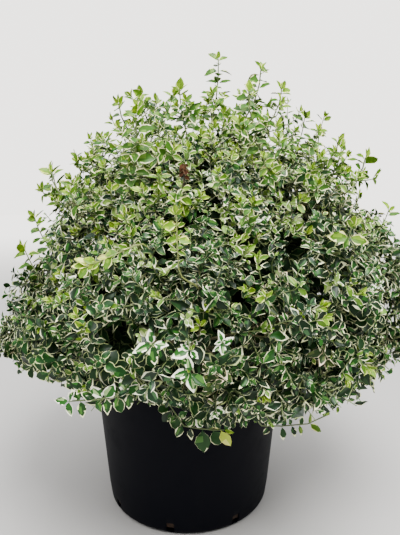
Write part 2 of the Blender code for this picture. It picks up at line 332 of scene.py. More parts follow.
pot = {
    "height": 0.260,
    "footRadius": 0.130,
    "rimRadius": 0.153,
    "corner": 0.012,
    "wall": 0.0022,
    "floor": 0.0035,
    "lipWidth": 0.006,
    "lipHeight": 0.014,
    "lipRound": 0.0012,
    "standingRing": 0.105,
    "ringSlope": 0.002,
    "recess": 0.0012,
    "sides": 144,
    "cornerSteps": 9,
    "wallSteps": 12,
    "insideSteps": 9,
    "roundSteps": 4,
    "holes": 8,
    "holeWidth": 0.012,
    "holeHeight": 0.017,
    "holeBottom": 0.004,
    "firstHole": math.radians(-101),
    "holeRound": 0.0028,
    "edgeRound": 0.0005,
    "bevelAngle": math.radians(50),
    "sharpAngle": math.radians(38),
    "plastic": {"IOR": 1.42, "Specular IOR Level": 0.08},
    "black": (3, 4, 11),
    "dust": (22, 22, 24),
    "dustyFoot": (0.002, 0.05),
    # patterns: scale, detail and roughness, then where a patch starts and where it is full
    "runs": ((55, 55, 3.5), 4, 0.55, 0.56, 0.78),
    "blotches": (24, 5, 0.7, 0.45, 0.75),
    "speckle": (900, 2, 0.55, 0.62, 0.72),
    "fineGrain": (1400, 2),
    "coarseGrain": (160, 3),
    "relief": (0.12, 0.0004),  # strength and depth in metres
}


def outerRadius(height):
    return mixed(pot["footRadius"], pot["rimRadius"], height / pot["height"])


def innerRadius(height):
    share = (height - pot["corner"]) / (pot["height"] - pot["corner"])
    return mixed(pot["footRadius"], pot["rimRadius"], share) - pot["wall"]


def arc(across, height, radius, first, last, steps=pot["roundSteps"]):
    # points round a corner, from the first to the last angle in degrees
    turns = [math.radians(mixed(first, last, step / steps)) for step in range(steps + 1)]
    return [(across + radius * math.cos(t), height + radius * math.sin(t)) for t in turns]


def potProfile():
    height, lip, wall = pot["height"], pot["rimRadius"] + pot["lipWidth"], pot["wall"]
    foot, corner, soft = pot["footRadius"], pot["corner"], pot["lipRound"]
    ring, inside, lipBottom = pot["standingRing"], innerRadius(height), height - pot["lipHeight"]
    profile = [(0.0, pot["recess"]), (ring - pot["ringSlope"], pot["recess"]), (ring, 0.0)]
    profile += arc(foot - corner, corner, corner, -90, -5, pot["cornerSteps"])
    for step in range(1, pot["wallSteps"]):
        level = mixed(corner, lipBottom, step / pot["wallSteps"])
        profile.append((outerRadius(level), level))
    profile += [(outerRadius(lipBottom), lipBottom)]
    profile += arc(lip - soft, lipBottom + soft, soft, -90, 0)
    profile += arc(lip - soft, height - soft, soft, 0, 90)
    profile += arc(inside + soft, height - soft, soft, 90, 180)
    for step in range(1, pot["insideSteps"] + 1):
        level = mixed(height - wall, corner, step / pot["insideSteps"])
        profile.append((innerRadius(level), level))
    return profile + [(foot - corner, pot["floor"]), (0.0, pot["floor"])]


def turnedMesh(name, profile, sides, shape=None):
    # a profile of radius and height turned about the middle; both ends are on the axis
    work = bmesh.new()
    rings = []
    for radius, height in profile:
        if radius == 0:
            rings.append([work.verts.new((0, 0, height))])
            continue
        ring = []
        for side in range(sides):
            turn = 2 * math.pi * side / sides
            point = Vector((radius * math.cos(turn), radius * math.sin(turn), height))
            ring.append(work.verts.new(shape(point) if shape else point))
        rings.append(ring)
    for low, high in zip(rings, rings[1:]):
        for side in range(sides):
            after = (side + 1) % sides
            corners = [low[side % len(low)], low[after % len(low)]]
            corners += [high[after % len(high)], high[side % len(high)]]
            work.faces.new(list(dict.fromkeys(corners)))
    bmesh.ops.recalc_face_normals(work, faces=work.faces)
    mesh = meshOf(work, name)
    mesh.shade_smooth()
    return mesh


def holeCutter():
    # upright slots with rounded corners, evenly round the foot
    work = bmesh.new()
    wide, tall, soft = pot["holeWidth"] / 2, pot["holeHeight"] / 2, pot["holeRound"]
    outline = []
    for quarter, (across, up) in enumerate(((1, 1), (-1, 1), (-1, -1), (1, -1))):
        first = 90 * quarter
        outline += arc(across * (wide - soft), up * (tall - soft), soft, first, first + 90)
    middle = pot["holeBottom"] + tall
    for index in range(pot["holes"]):
        turn = Matrix.Rotation(pot["firstHole"] + 2 * math.pi * index / pot["holes"], 4, "Z")
        ends = []
        for depth in (-pot["corner"], pot["corner"]):
            across = pot["footRadius"] + depth
            corners = [Vector((across, x, middle + z)) for x, z in outline]
            ends.append([work.verts.new(turn @ corner) for corner in corners])
        near, far = ends
        for step in range(len(outline)):
            after = (step + 1) % len(outline)
            work.faces.new((near[step], near[after], far[after], far[step]))
        work.faces.new(near)
        work.faces.new(far)
    bmesh.ops.recalc_face_normals(work, faces=work.faces)
    return newPiece("hole_cutter", meshOf(work, "hole_cutter"))


def potPlastic():
    # satin black moulded plastic: fine grain, dried water runs, and dust near the foot
    finish, tree, shader = newFinish("pot_plastic", pot["plastic"])
    place = tree.place()
    patterns = ("runs", "blotches", "speckle")
    runs, blotches, speckle = [tree.blots(place, *pot[name]) for name in patterns]
    foot = 1 - tree.between(tree.heightOf(place), *pot["dustyFoot"])
    dust = runs * 0.35 + blotches * 0.25 + foot * blotches * 0.6 + speckle * 0.12
    colour = tree.blend(dust * 0.4, linear(*pot["black"]), linear(*pot["dust"]))
    rough = 0.55 + blotches * 0.08 + dust * 0.15
    fine, coarse = tree.cloud(place, *pot["fineGrain"]), tree.cloud(place, *pot["coarseGrain"])
    dress(tree, shader, colour, rough, fine * 0.6 + coarse * 0.4, *pot["relief"])
    return finish


def makePot():
    piece = newPiece("nursery_pot", turnedMesh("nursery_pot", potProfile(), pot["sides"]))
    piece.data.materials.append(potPlastic())
    cutter = holeCutter()
    cut = piece.modifiers.new("holes", "BOOLEAN")
    cut.operation, cut.solver, cut.object = "DIFFERENCE", "EXACT", cutter
    soften = piece.modifiers.new("soften", "BEVEL")
    soften.width, soften.segments = pot["edgeRound"], 2
    soften.limit_method, soften.angle_limit = "ANGLE", pot["bevelAngle"]
    applied(piece)
    bpy.data.objects.remove(cutter)
    piece.data.shade_smooth()
    piece.data.set_sharp_from_angle(angle=pot["sharpAngle"])
    finishPiece(piece, "pot", "pot")
    print("pot made:", len(piece.data.polygons), "faces")


makePot()

# the potting soil

soil = {
    "level": 0.236,
    "edgeDrop": 0.006,
    "gap": 0.0006,
    "floorGap": 0.0003,
    "wallSteps": 6,
    "rings": 34,
    "sides": 120,
    "lumps": 0.0022,
    "lumpScale": 70,
    "lumpDetail": (0.7, 2.1, 4),
    "lumpBand": 0.0015,
    "lumpEase": 0.012,
    "crumbs": 1500,
    "crumbSize": 0.0032,
    "crumbSpread": (0.35, 1.3),
    "crumbTurn": 6.28,
    "crumbRough": (0.75, 1.15),
    "crumbShapes": ((1, 0.7, 0.5), (1, 0.45, 0.3), (0.8, 0.8, 0.6), (1.3, 0.35, 0.25)),
    "crumbBand": 0.012,
    "facing": 0.4,
    "stemRoom": 0.020,
    "seed": 4,
    "specular": 0.3,
    "peat": ((0.25, (28, 20, 15)), (0.5, (52, 38, 28)), (0.75, (84, 62, 44))),
    "fibre": (128, 98, 68),
    "grain": (150, 146, 136),
    "bark": ((0.3, (46, 32, 24)), (0.5, (86, 60, 42)), (0.72, (124, 92, 64))),
    # patterns, as for the pot
    "clods": (90, 6, 0.7),
    "fibres": ((240, 60, 240), 3, 0.55, 0.62, 0.74),
    "grains": (520, 1, 0.55, 0.70, 0.76),
    "peatGrain": (420, 3),
    "peatRelief": (0.7, 0.0015),
    "barkPattern": (120, 3),
    "barkGrain": (600, 3),
    "barkRelief": (0.5, 0.0006),
}


def soilShape(point):
    # lumps on the top only, fading out at the edge
    if point.z > soil["level"] - soil["edgeDrop"] - soil["lumpBand"]:
        across = math.hypot(point.x, point.y)
        calm = clamped((innerRadius(soil["level"]) - across) / soil["lumpEase"])
        lump = noise.fractal(point * soil["lumpScale"], *soil["lumpDetail"])
        point.z += lump * soil["lumps"] * calm
    return point


def soilProfile():
    edge = soil["level"] - soil["edgeDrop"]
    room, bottom = soil["gap"], pot["floor"] + soil["floorGap"]
    rim = innerRadius(edge) - room
    profile = [(0.0, bottom), (pot["footRadius"] - pot["corner"] - room, bottom)]
    for step in range(soil["wallSteps"]):
        level = mixed(pot["corner"], edge, step / soil["wallSteps"])
        profile.append((innerRadius(level) - room, level))
    for step in range(soil["rings"]):
        share = step / soil["rings"]
        dome = soil["edgeDrop"] * (1 - (1 - share) ** 2)
        profile.append((rim * (1 - share), edge + dome))
    return profile + [(0.0, soil["level"])]


def peat():
    # dark crumbly compost with paler bark fibres and a few grey grains
    finish, tree, shader = newFinish("peat", {"Specular IOR Level": soil["specular"]})
    place = tree.place()
    clods = tree.cloud(place, *soil["clods"])
    fibres, grains = tree.blots(place, *soil["fibres"]), tree.blots(place, *soil["grains"])
    base = tree.tones(clods, soil["peat"])
    base = tree.blend(fibres * 0.7, base, linear(*soil["fibre"]))
    base = tree.blend(grains * 0.8, base, linear(*soil["grain"]))
    height = clods * 0.6 + tree.cloud(place, *soil["peatGrain"]) * 0.4
    dress(tree, shader, base, 0.88 + clods * 0.1, height, *soil["peatRelief"])
    return finish


def barkChips():
    # the dry bark crumbs in the compost, each a little different
    finish, tree, shader = newFinish("bark_chips", {"Specular IOR Level": soil["specular"]})
    place = tree.place()
    share = tree.cloud(place, *soil["barkPattern"])
    base, grain = tree.tones(share, soil["bark"]), tree.cloud(place, *soil["barkGrain"])
    dress(tree, shader, base, 0.82 + share * 0.12, grain, *soil["barkRelief"])
    return finish


def makeCrumb(name, stretch, seed):
    # one chip: a small rough form of a few faces
    rng = random.Random(seed)
    work = bmesh.new()
    bmesh.ops.create_icosphere(work, subdivisions=1, radius=0.5)
    for vertex in work.verts:
        rough = rng.uniform(*soil["crumbRough"])
        vertex.co = Vector([a * b for a, b in zip(vertex.co, stretch)]) * rough
    return newPiece(name, meshOf(work, name))


def crumbTree(ground, chips):
    # scatters crumbs over the faces that look up, and joins them to the ground
    inputs = {"Crumbs": None, "Crumbs per area": 20000.0, "Crumb size": 0.003,
              "Middle kept clear": 0.02, "Seed": 0}
    tree, maker, wires = newNodesTree("soil_crumbs", inputs)
    body, seed = wires["Geometry"], wires["Seed"]
    place = maker.add("GeometryNodeInputPosition")
    flat = maker.add("ShaderNodeVectorMath", {0: place, 1: (1, 1, 0)}, operation="MULTIPLY")
    across = maker.add("ShaderNodeVectorMath", {0: flat}, "Value", operation="LENGTH")
    top = maker.heightOf(maker.add("GeometryNodeInputNormal")).above(soil["facing"])
    top = top * maker.heightOf(place).above(soil["level"] - soil["crumbBand"])
    top = top * across.above(wires["Middle kept clear"])
    values = {"Mesh": body, "Density": wires["Crumbs per area"] * top, "Seed": seed}
    points = maker.add("GeometryNodeDistributePointsOnFaces", values)
    turn = maker.chanceTurn((0, 0, 0), (soil["crumbTurn"],) * 3, seed)
    size = maker.chance(*soil["crumbSpread"], seed) * wires["Crumb size"]
    crumbs = maker.wear(maker.strew(points, wires["Crumbs"], turn, size), chips)
    joined = tree.nodes.new("GeometryNodeJoinGeometry")
    for wire in (maker.wear(body, ground), crumbs):
        tree.links.new(wire.socket, joined.inputs[0])
    return endTree(tree, Wire(maker, joined.outputs[0]))


def newShelf(name, pieces):
    # a collection that only the node trees see
    shelf = bpy.data.collections.new(name)
    for piece in pieces:
        scene.collection.objects.unlink(piece)
        shelf.objects.link(piece)
    return shelf


def emptyShelf(shelf):
    for piece in list(shelf.objects):
        bpy.data.objects.remove(piece)
    bpy.data.collections.remove(shelf)


def makeSoil():
    crumbs = [makeCrumb(f"crumb_{i}", shape, i) for i, shape in enumerate(soil["crumbShapes"])]
    shelf = newShelf("crumb_shapes", crumbs)
    ground = turnedMesh("potting_mix", soilProfile(), soil["sides"], soilShape)
    area = math.pi * innerRadius(soil["level"]) ** 2
    values = {"Crumbs": shelf, "Crumbs per area": soil["crumbs"] / area, "Seed": soil["seed"],
              "Crumb size": soil["crumbSize"], "Middle kept clear": soil["stemRoom"]}
    piece = grown("potting_mix", ground, crumbTree(peat(), barkChips()), values)
    emptyShelf(shelf)
    finishPiece(piece, "soil", "potting_soil")
    print("soil made:", len(piece.data.polygons), "faces")


makeSoil()

# the crown's form, from the same rule as the solids

crown = {
    "heart": Vector((0.0175, 0.0, 0.325)),
    "width": 0.325,
    "rise": 0.280,
    "drop": 0.132,
    "domePower": 2.0,
    "skirtPower": 3.5,
    "skew": 0.07,
    "lump": 0.13,
    "lumpScale": 2.6,
    "hollowWidth": 0.125,
    "hollowRise": 0.110,
    "hollowDrop": 0.088,
    "massDepth": 0.70,
    # each ring of masses: name, number, rise, first bearing, height of the boughs' roots
    "rings": (("skirt", 6, 2, 30, 0.264), ("shoulder", 4, 43, 48, 0.284), ("top", 1, 90, 0, 0.300)),
}
stem = {
    "radius": 0.0135,
    "flare": 0.023,
    "flareSteps": ((0.0, 1.0), (0.12, 0.45), (0.25, 0.12), (0.36, 0.0), (1.0, 0.0)),
    "foot": 0.2363,
    "top": 0.300,
    "boughRoot": 0.0055,
    "boughTip": 0.0034,
    "boughBend": 0.45,
    "gap": 0.0003,
}


def crownSurface(direction):
    # how far the leafy outline is from the heart along a unit direction
    high = direction.z > 0
    height = crown["rise"] if high else crown["drop"]
    power = crown["domePower"] if high else crown["skirtPower"]
    across = math.hypot(direction.x, direction.y) / crown["width"]
    plain = (across**power + (abs(direction.z) / height) ** power) ** (-1 / power)
    skew = 1 + 2 * crown["skew"] * direction.x * max(direction.z, 0)
    return plain * skew * (1 + crown["lump"] * noise.noise(direction * crown["lumpScale"]))


def crownPoint(direction, depth=1.0):
    return crown["heart"] + direction * crownSurface(direction) * depth


def hollowSurface(direction):
    # how far the leafless middle reaches
    height = crown["hollowRise"] if direction.z > 0 else crown["hollowDrop"]
    across = (direction.x**2 + direction.y**2) / crown["hollowWidth"] ** 2
    return 1 / math.sqrt(across + (direction.z / height) ** 2)


def crownMasses():
    masses = []
    for ring, count, rise, first, rootHeight in crown["rings"]:
        for index in range(count):
            bearing = math.radians(first + 360 * index / count)
            outward = bearingVector(bearing, math.radians(rise))
            masses.append({
                "name": f"{ring}_{index + 1}" if count > 1 else ring,
                "outward": outward,
                "bearing": bearing,
                "middle": crownPoint(outward, crown["massDepth"]),
                "rootHeight": rootHeight,
            })
    return masses


def bendPoints(start, bend, end, steps):
    # points on a smooth bend that is drawn towards the bend point
    shares = [step / steps for step in range(steps + 1)]
    return [start * (1 - t) ** 2 + bend * 2 * t * (1 - t) + end * t**2 for t in shares]


def boughPath(mass, steps):
    tip = crown["heart"] + mass["outward"] * hollowSurface(mass["outward"])
    if mass["rootHeight"] == stem["top"]:
        first = upward
        root = upward * (stem["top"] + stem["gap"])
    else:
        first = bearingVector(mass["bearing"], 0)
        root = first * (stem["radius"] + stem["gap"]) + upward * mass["rootHeight"]
    bend = root + first * (tip - root).length * stem["boughBend"]
    return bendPoints(root, bend, tip, steps), first


# the wood: stem and boughs

wood = {
    "sides": 18,
    "stemSteps": 20,
    "stemSink": 0.004,
    "stemShort": 0.003,
    "stemCore": 0.93,
    "boughSteps": 26,
    "boughSink": 0.8,
    "boughCore": 0.95,
    "collar": 1.55,
    "collarLength": 0.22,
    "voxel": 0.0012,
    "smoothing": 3,
    "ridge": 0.00075,
    "ridgeShare": 0.5,
    "ridgeScale": 420,
    "ridgeStretch": 0.86,
    "ridgeSharpness": 2.2,
    "fineShare": 0.25,
    "fineScale": 1500,
    "knots": 0.0011,
    "knotShare": 0.6,
    "knotScale": 90,
    "rootLobes": 5,
    "lobe": 0.0016,
    "lobeTurn": 0.7,
    "lobeHeight": 0.018,
    "lobeReach": 0.03,
    "seed": 11,
    "specular": 0.25,
    "grey": ((0.3, (84, 70, 52)), (0.5, (118, 101, 78)), (0.7, (150, 136, 112))),
    "crackColour": (48, 37, 27),
    "algaeColour": (96, 104, 62),
    # patterns, as for the pot
    "cracks": ((520, 520, 110), 4, 0.65, 0.52, 0.66),
    "algae": (34, 3, 0.55, 0.55, 0.72),
    "greyPattern": (60, 4),
    "grain": (900, 4),
    "relief": (0.6, 0.0008),
}


def sweepTree(name, finishes):
    # sweeps round sections along the edges of a mesh: girth is the radius, coat picks the finish
    tree, maker, wires = newNodesTree(name, {"Sides": 6, "Girth": 1.0})
    lines = maker.add("GeometryNodeMeshToCurve", {0: wires["Geometry"]})
    girth = maker.named("girth", "FLOAT") * wires["Girth"]
    lines = maker.add("GeometryNodeSetCurveRadius", {0: lines, 2: girth})
    values = {"Resolution": wires["Sides"], "Radius": 1.0}
    ring = maker.add("GeometryNodeCurvePrimitiveCircle", values, mode="RADIUS")
    values = {"Curve": lines, "Profile Curve": ring, "Fill Caps": True, "Scale": girth}
    tubes = maker.add("GeometryNodeCurveToMesh", values)
    tubes = maker.add("GeometryNodeRealizeInstances", {0: tubes})
    return endTree(tree, maker.wearEach(tubes, maker.named("coat", "INT"), finishes))


def lineMesh(name, lines):
    # many open lines as one mesh of edges, each with a girth at every point and one coat
    points, edges, girths, coats = [], [], [], []
    for path, radii, coat in lines:
        first = len(points)
        points += [tuple(point) for point in path]
        edges += [(first + step, first + step + 1) for step in range(len(path) - 1)]
        girths += radii
        coats += [coat] * len(path)
    mesh = bpy.data.meshes.new(name)
    mesh.from_pydata(points, edges, [])
    store(mesh, "girth", "FLOAT", girths)
    store(mesh, "coat", "INT", coats)
    return mesh


def stemRadius(height):
    # the source's flare at the foot, eased between its steps
    share = (height - stem["foot"]) / (stem["top"] - stem["foot"])
    for (low, wide), (high, narrow) in zip(stem["flareSteps"], stem["flareSteps"][1:]):
        if low <= share <= high:
            spread = mixed(wide, narrow, (share - low) / (high - low))
            return mixed(stem["radius"], stem["flare"], spread)
    return stem["radius"]


def woodLines(masses):
    # the stem and each bough, which starts inside the stem and has a collar at its root
    low, high = stem["foot"] - wood["stemSink"], stem["top"] - wood["stemShort"]
    steps = wood["stemSteps"]
    trunk = [Vector((0, 0, mixed(low, high, step / steps))) for step in range(steps + 1)]
    radii = [stemRadius(max(p.z, stem["foot"])) * wood["stemCore"] for p in trunk]
    lines = [(trunk, radii, 0)]
    for mass in masses:
        path, first = boughPath(mass, wood["boughSteps"])
        path = [path[0] - first * stem["radius"] * wood["boughSink"]] + path
        radii = []
        for step in range(len(path)):
            share = step / (len(path) - 1)
            swell = 1 + (wood["collar"] - 1) * max(0, 1 - share / wood["collarLength"]) ** 2
            radius = mixed(stem["boughRoot"], stem["boughTip"], share)
            radii.append(radius * wood["boughCore"] * swell)
        lines.append((path, radii, 0))
    return lines


def roughen(mesh, lines):
    # lengthwise ridges, swellings and root lobes, measured along the limb that each point is on
    guide = [(point, step, path) for path, _, _ in lines for step, point in enumerate(path)]
    finder = KDTree(len(guide))
    for index, (point, _, _) in enumerate(guide):
        finder.insert(point, index)
    finder.balance()
    normals = [Vector(n.vector) for n in mesh.vertex_normals]
    offset = Vector((wood["seed"], 0, 0))
    moved = []
    for vertex, normal in zip(mesh.vertices, normals):
        at = vertex.co
        _, index, _ = finder.find(at)
        point, step, path = guide[index]
        along = (path[min(step + 1, len(path) - 1)] - path[max(step - 1, 0)]).normalized()
        spread = at - along * at.dot(along) * wood["ridgeStretch"]
        ridge = 1 - abs(noise.noise(spread * wood["ridgeScale"])) * wood["ridgeSharpness"]
        knots = noise.noise(at * wood["knotScale"] + offset)
        fine = noise.noise(at * wood["fineScale"])
        lift = wood["ridge"] * (ridge * wood["ridgeShare"] + fine * wood["fineShare"])
        lift += wood["knots"] * knots * wood["knotShare"]
        low = clamped(1 - (at.z - soil["level"]) / wood["lobeHeight"])
        if low > 0 and math.hypot(at.x, at.y) < wood["lobeReach"]:
            turn = wood["rootLobes"] * math.atan2(at.y, at.x) + wood["lobeTurn"]
            lift += low * wood["lobe"] * math.cos(turn)
        moved.append(at + normal * lift)
    for vertex, place in zip(mesh.vertices, moved):
        vertex.co = place
    mesh.update()


def greyBark():
    # grey-brown bark with corky lengthwise cracks and green algae in patches
    finish, tree, shader = newFinish("grey_bark", {"Specular IOR Level": wood["specular"]})
    place = tree.place()
    cracks, algae = tree.blots(place, *wood["cracks"]), tree.blots(place, *wood["algae"])
    base = tree.tones(tree.cloud(place, *wood["greyPattern"]), wood["grey"])
    base = tree.blend(cracks * 0.75, base, linear(*wood["crackColour"]))
    base = tree.blend(algae * 0.35, base, linear(*wood["algaeColour"]))
    height = (1 - cracks) * 0.7 + tree.cloud(place, *wood["grain"]) * 0.3
    dress(tree, shader, base, 0.78 + cracks * 0.14, height, *wood["relief"])
    return finish


def makeWood(masses):
    lines = woodLines(masses)
    bark = greyBark()
    name = "stem_and_boughs"
    piece = grown(name, lineMesh(name, lines), sweepTree("limbs", [bark]), {"Sides": wood["sides"]})
    fuse = piece.modifiers.new("fuse", "REMESH")
    fuse.mode, fuse.voxel_size, fuse.use_smooth_shade = "VOXEL", wood["voxel"], True
    ease = piece.modifiers.new("ease", "SMOOTH")
    ease.iterations, ease.factor = wood["smoothing"], 0.5
    mesh = applied(piece)
    roughen(mesh, lines)
    mesh.materials.clear()
    mesh.materials.append(bark)
    mesh.shade_smooth()
    finishPiece(piece, "bark", "main_stem", *[mass["name"] + "_bough" for mass in masses])
    print("stem and boughs made:", len(mesh.polygons), "faces")


masses = crownMasses()
makeWood(masses)

# leaf shapes

# places along a leaf where its outline has corners
leafStations = {
    "mature": (0.0, 0.10, 0.30, 0.55, 0.80, 1.0),
    "grown": (0.0, 0.21, 0.50, 0.79, 1.0),
    "inner": (0.0, 0.45, 1.0),
    "large": (0.0, 0.08, 0.18, 0.32, 0.46, 0.60, 0.74, 0.87, 1.0),
}
leafForm = {
    "copies": 2,
    "stalk": 0.035,
    "stalkEnd": 0.10,
    "bluntness": (0.72, 1.15),
    "swing": 0.07,
    "twist": 0.55,
    "lopside": (0.88, 1.0),
    "edge": (0.88, 1.10),
    "wave": 1.3,
    "foldEase": 0.35,
    "middle": (0.93, 1.05),
    "bay": (0.50, 0.85),
    "tipMiddle": 0.45,
    "widestMiddle": 0.98,
    "patched": 0.90,
    "patch": (0.25, 0.5),
    "broken": 0.20,
}
# width, widest place, bluntness, fold, droop, wave, green share, start of the pale tip, and how
# often the green has a bay
matureForms = (
    (0.54, 0.44, 0.86, 0.30, 0.20, 0.035, 0.95, 0.79, 0.14),
    (0.50, 0.40, 0.94, 0.42, 0.34, 0.050, 0.94, 0.90, 0.18),
    (0.62, 0.45, 0.82, 0.22, 0.10, 0.035, 0.95, 0.90, 0.10),
    (0.48, 0.42, 1.00, 0.50, 0.14, 0.045, 0.93, 0.79, 0.22),
    (0.56, 0.47, 0.84, 0.34, 0.46, 0.055, 0.945, 0.90, 0.14),
    (0.56, 0.42, 0.92, 0.26, -0.18, 0.045, 0.945, 0.90, 0.18),
    (0.44, 0.42, 0.96, 0.38, 0.28, 0.040, 0.94, 0.90, 0.12),
)
leafKinds = {
    "mature": matureForms,
    "grown": matureForms,
    "round": (
        (0.76, 0.47, 0.70, 0.16, 0.14, 0.020, 0.88, 0.94, 0.04),
        (0.70, 0.45, 0.74, 0.24, 0.26, 0.025, 0.87, 0.92, 0.06),
    ),
    "young": (
        (0.54, 0.46, 0.80, 0.24, -0.10, 0.020, 0.88, 0.93, 0.08),
        (0.48, 0.44, 0.86, 0.34, 0.08, 0.020, 0.87, 0.93, 0.12),
    ),
    "leader": (
        (0.64, 0.46, 0.78, 0.20, 0.12, 0.015, 0.86, 0.94, 0.08),
        (0.58, 0.44, 0.86, 0.28, 0.26, 0.020, 0.84, 0.93, 0.10),
        (0.66, 0.46, 0.78, 0.24, -0.12, 0.020, 0.86, 0.93, 0.08),
    ),
    "inner": (
        (0.62, 0.44, 0.80, 0.20, 0.20, 0.030, 0.86, 0.99, 0.05),
        (0.54, 0.42, 0.85, 0.36, 0.10, 0.030, 0.82, 0.99, 0.10),
    ),
    "pale": (
        (0.54, 0.40, 0.96, 0.22, 0.14, 0.050, 0.70, 0.79, 0.34),
        (0.58, 0.42, 0.94, 0.18, 0.08, 0.045, 0.60, 0.79, 0.34),
    ),
    "large": (
        (0.60, 0.42, 0.86, 0.16, 0.12, 0.030, 0.84, 0.87, 0.15),
        (0.56, 0.40, 0.90, 0.22, 0.06, 0.030, 0.80, 0.87, 0.20),
    ),
}
kindNumbers = {}  # each kind's places on the shelf of shapes


def leafHalfWidth(t, width, widest, blunt):
    # rounder towards the stalk and more pointed towards the tip
    stalk, stalkEnd = leafForm["stalk"] / 2, leafForm["stalkEnd"]
    if t <= stalkEnd:
        return stalk
    share = (t - stalkEnd) / (1 - stalkEnd)
    power = math.log(0.5) / math.log(widest)
    curve = blunt * mixed(*leafForm["bluntness"], share)
    return max(width / 2 * math.sin(math.pi * share**power) ** curve, stalk)


def makeLeaf(name, form, stations, seed):
    # a leaf of unit length along +Y, its upper side towards +Z, with faces of its own for the
    # green middle
    width, widest, blunt, fold, droop, wave, green, paleTip, bays = form
    rng = random.Random(seed)
    points, faces, zones, rows = [], [], [], []
    swing, twist = either(rng, leafForm["swing"]), either(rng, leafForm["twist"])
    lopside = rng.uniform(*leafForm["lopside"])
    for t in stations[:-1]:
        half = leafHalfWidth(t, width, widest, blunt)
        turn = Matrix.Rotation(twist * t, 3, "Y")
        blade = t > leafForm["stalkEnd"]
        row = []
        edges = [rng.uniform(*leafForm["edge"]) for _ in range(2)]
        waves = [wave * either(rng, leafForm["wave"]) if blade else 0 for _ in range(2)]
        for side in (-1, -0.5, 0, 0.5, 1):
            share = side * (lopside if side < 0 else 1) * edges[side > 0]
            if abs(side) == 0.5:
                inner = green * rng.uniform(*leafForm["middle"])
                if rng.random() < bays and blade:
                    inner *= rng.uniform(*leafForm["bay"])
                if t >= paleTip:
                    inner *= leafForm["tipMiddle"]
                share *= 2 * min(inner, leafForm["widestMiddle"])
            x = half * share
            z = fold * abs(x) * 2 * (1 - leafForm["foldEase"] * t)
            z += waves[side > 0] * (share / side if side else 0)
            bent = turn @ Vector((x, 0, z))
            row.append(len(points))
            points.append((bent.x + swing * t * t, t, bent.z - droop * t**2))
        rows.append(row)
    points.append((swing, 1.0, -droop))
    rows.append([len(points) - 1] * 5)
    patchSide = rng.choice((1, 2)) if rng.random() < leafForm["patched"] else 0
    patchStart = rng.uniform(0.0, 0.5)
    patchEnd = patchStart + rng.uniform(*leafForm["patch"])
    for t, low, high in zip(stations, rows, rows[1:]):
        for strip in range(4):
            corners = [low[strip], low[strip + 1], high[strip + 1], high[strip]]
            faces.append(list(dict.fromkeys(corners)))
            if t == 0 and stations[1] <= leafForm["stalkEnd"]:
                zones.append(0)
            elif t >= paleTip or strip in (0, 3) and rng.random() > leafForm["broken"]:
                zones.append(2)
            else:
                zones.append(1 if strip == patchSide and patchStart <= t < patchEnd else 0)
    mesh = bpy.data.meshes.new(name)
    mesh.from_pydata(points, [], faces)
    store(mesh, "zone", "INT", zones, "FACE")
    mesh.shade_smooth()
    mesh.update()
    return newPiece(name, mesh)


def makeLeafShelf():
    # several leaves of each form; those that only show inside the crown have fewer faces
    pieces = []
    for kind, forms in leafKinds.items():
        first = len(pieces)
        stations = leafStations.get(kind, leafStations["mature"])
        for form in forms * leafForm["copies"]:
            number = len(pieces)
            pieces.append(makeLeaf(f"leaf_{number:02d}", form, stations, number + 1))
        kindNumbers[kind] = list(range(first, len(pieces)))
    return newShelf("leaf_shapes", pieces)


# leaf colours: centre, lighter patches in it, and margin, dealt out by spray

leafFinish = {
    "roughness": 0.42,
    "specular": 0.24,
    "dull": ("dead", "shaded"),
    "dullRoughness": 0.8,
    "dullSpecular": 0.08,
}
leafShades = {
    "deep": ((7, 34, 4), (36, 84, 24), (244, 247, 194)),
    "mid": ((18, 60, 9), (62, 106, 38), (248, 250, 200)),
    "blue": ((14, 44, 19), (56, 92, 54), (238, 242, 206)),
    "tan": ((30, 54, 12), (72, 88, 34), (240, 220, 184)),
    # fresh: young green; where it is dealt high up, its lightness is partly painted light for the
    # top of the crown
    "fresh": ((78, 116, 24), (126, 156, 58), (254, 252, 202)),
    "lime": ((98, 136, 5), (138, 168, 20), (236, 240, 128)),
    "limeDeep": ((72, 110, 8), (108, 144, 26), (242, 242, 156)),
    "tip": ((108, 146, 12), (134, 168, 30), (236, 242, 146)),
    "white": ((28, 82, 18), (146, 178, 112), (254, 254, 230)),
    "round": ((12, 52, 10), (34, 80, 24), (198, 210, 144)),
    # old: older leaves with faded margins, made darker still as painted shade for the inside of the
    # crown
    "old": ((8, 34, 6), (22, 56, 16), (150, 162, 104)),
    "cream": ((184, 202, 64), (224, 226, 120), (242, 236, 150)),
    "leader": ((56, 98, 20), (98, 136, 44), (252, 252, 188)),
    # light: pale leaves for the top of the crown, their brightness partly painted light
    "light": ((116, 148, 62), (180, 196, 122), (254, 254, 222)),
    # shaded: the inner leaves, darkened as painted shade
    "shaded": ((12, 34, 10), (22, 50, 18), (80, 92, 56)),
    "dead": ((58, 34, 20), (76, 48, 30), (98, 76, 54)),
}
shadeNames = list(leafShades)


def leafFinishes():
    # one plain waxy colour for each shade and zone, in the order of the shades
    finishes = []
    for name, colours in leafShades.items():
        dull = name in leafFinish["dull"]
        for zone, colour in zip(("centre", "patch", "margin"), colours):
            finish, _, _ = newFinish(f"leaf_{name}_{zone}", {
                "Base Color": linear(*colour),
                "Roughness": leafFinish["dullRoughness" if dull else "roughness"],
                "Specular IOR Level": leafFinish["dullSpecular" if dull else "specular"],
            })
            finishes.append(finish)
    return finishes


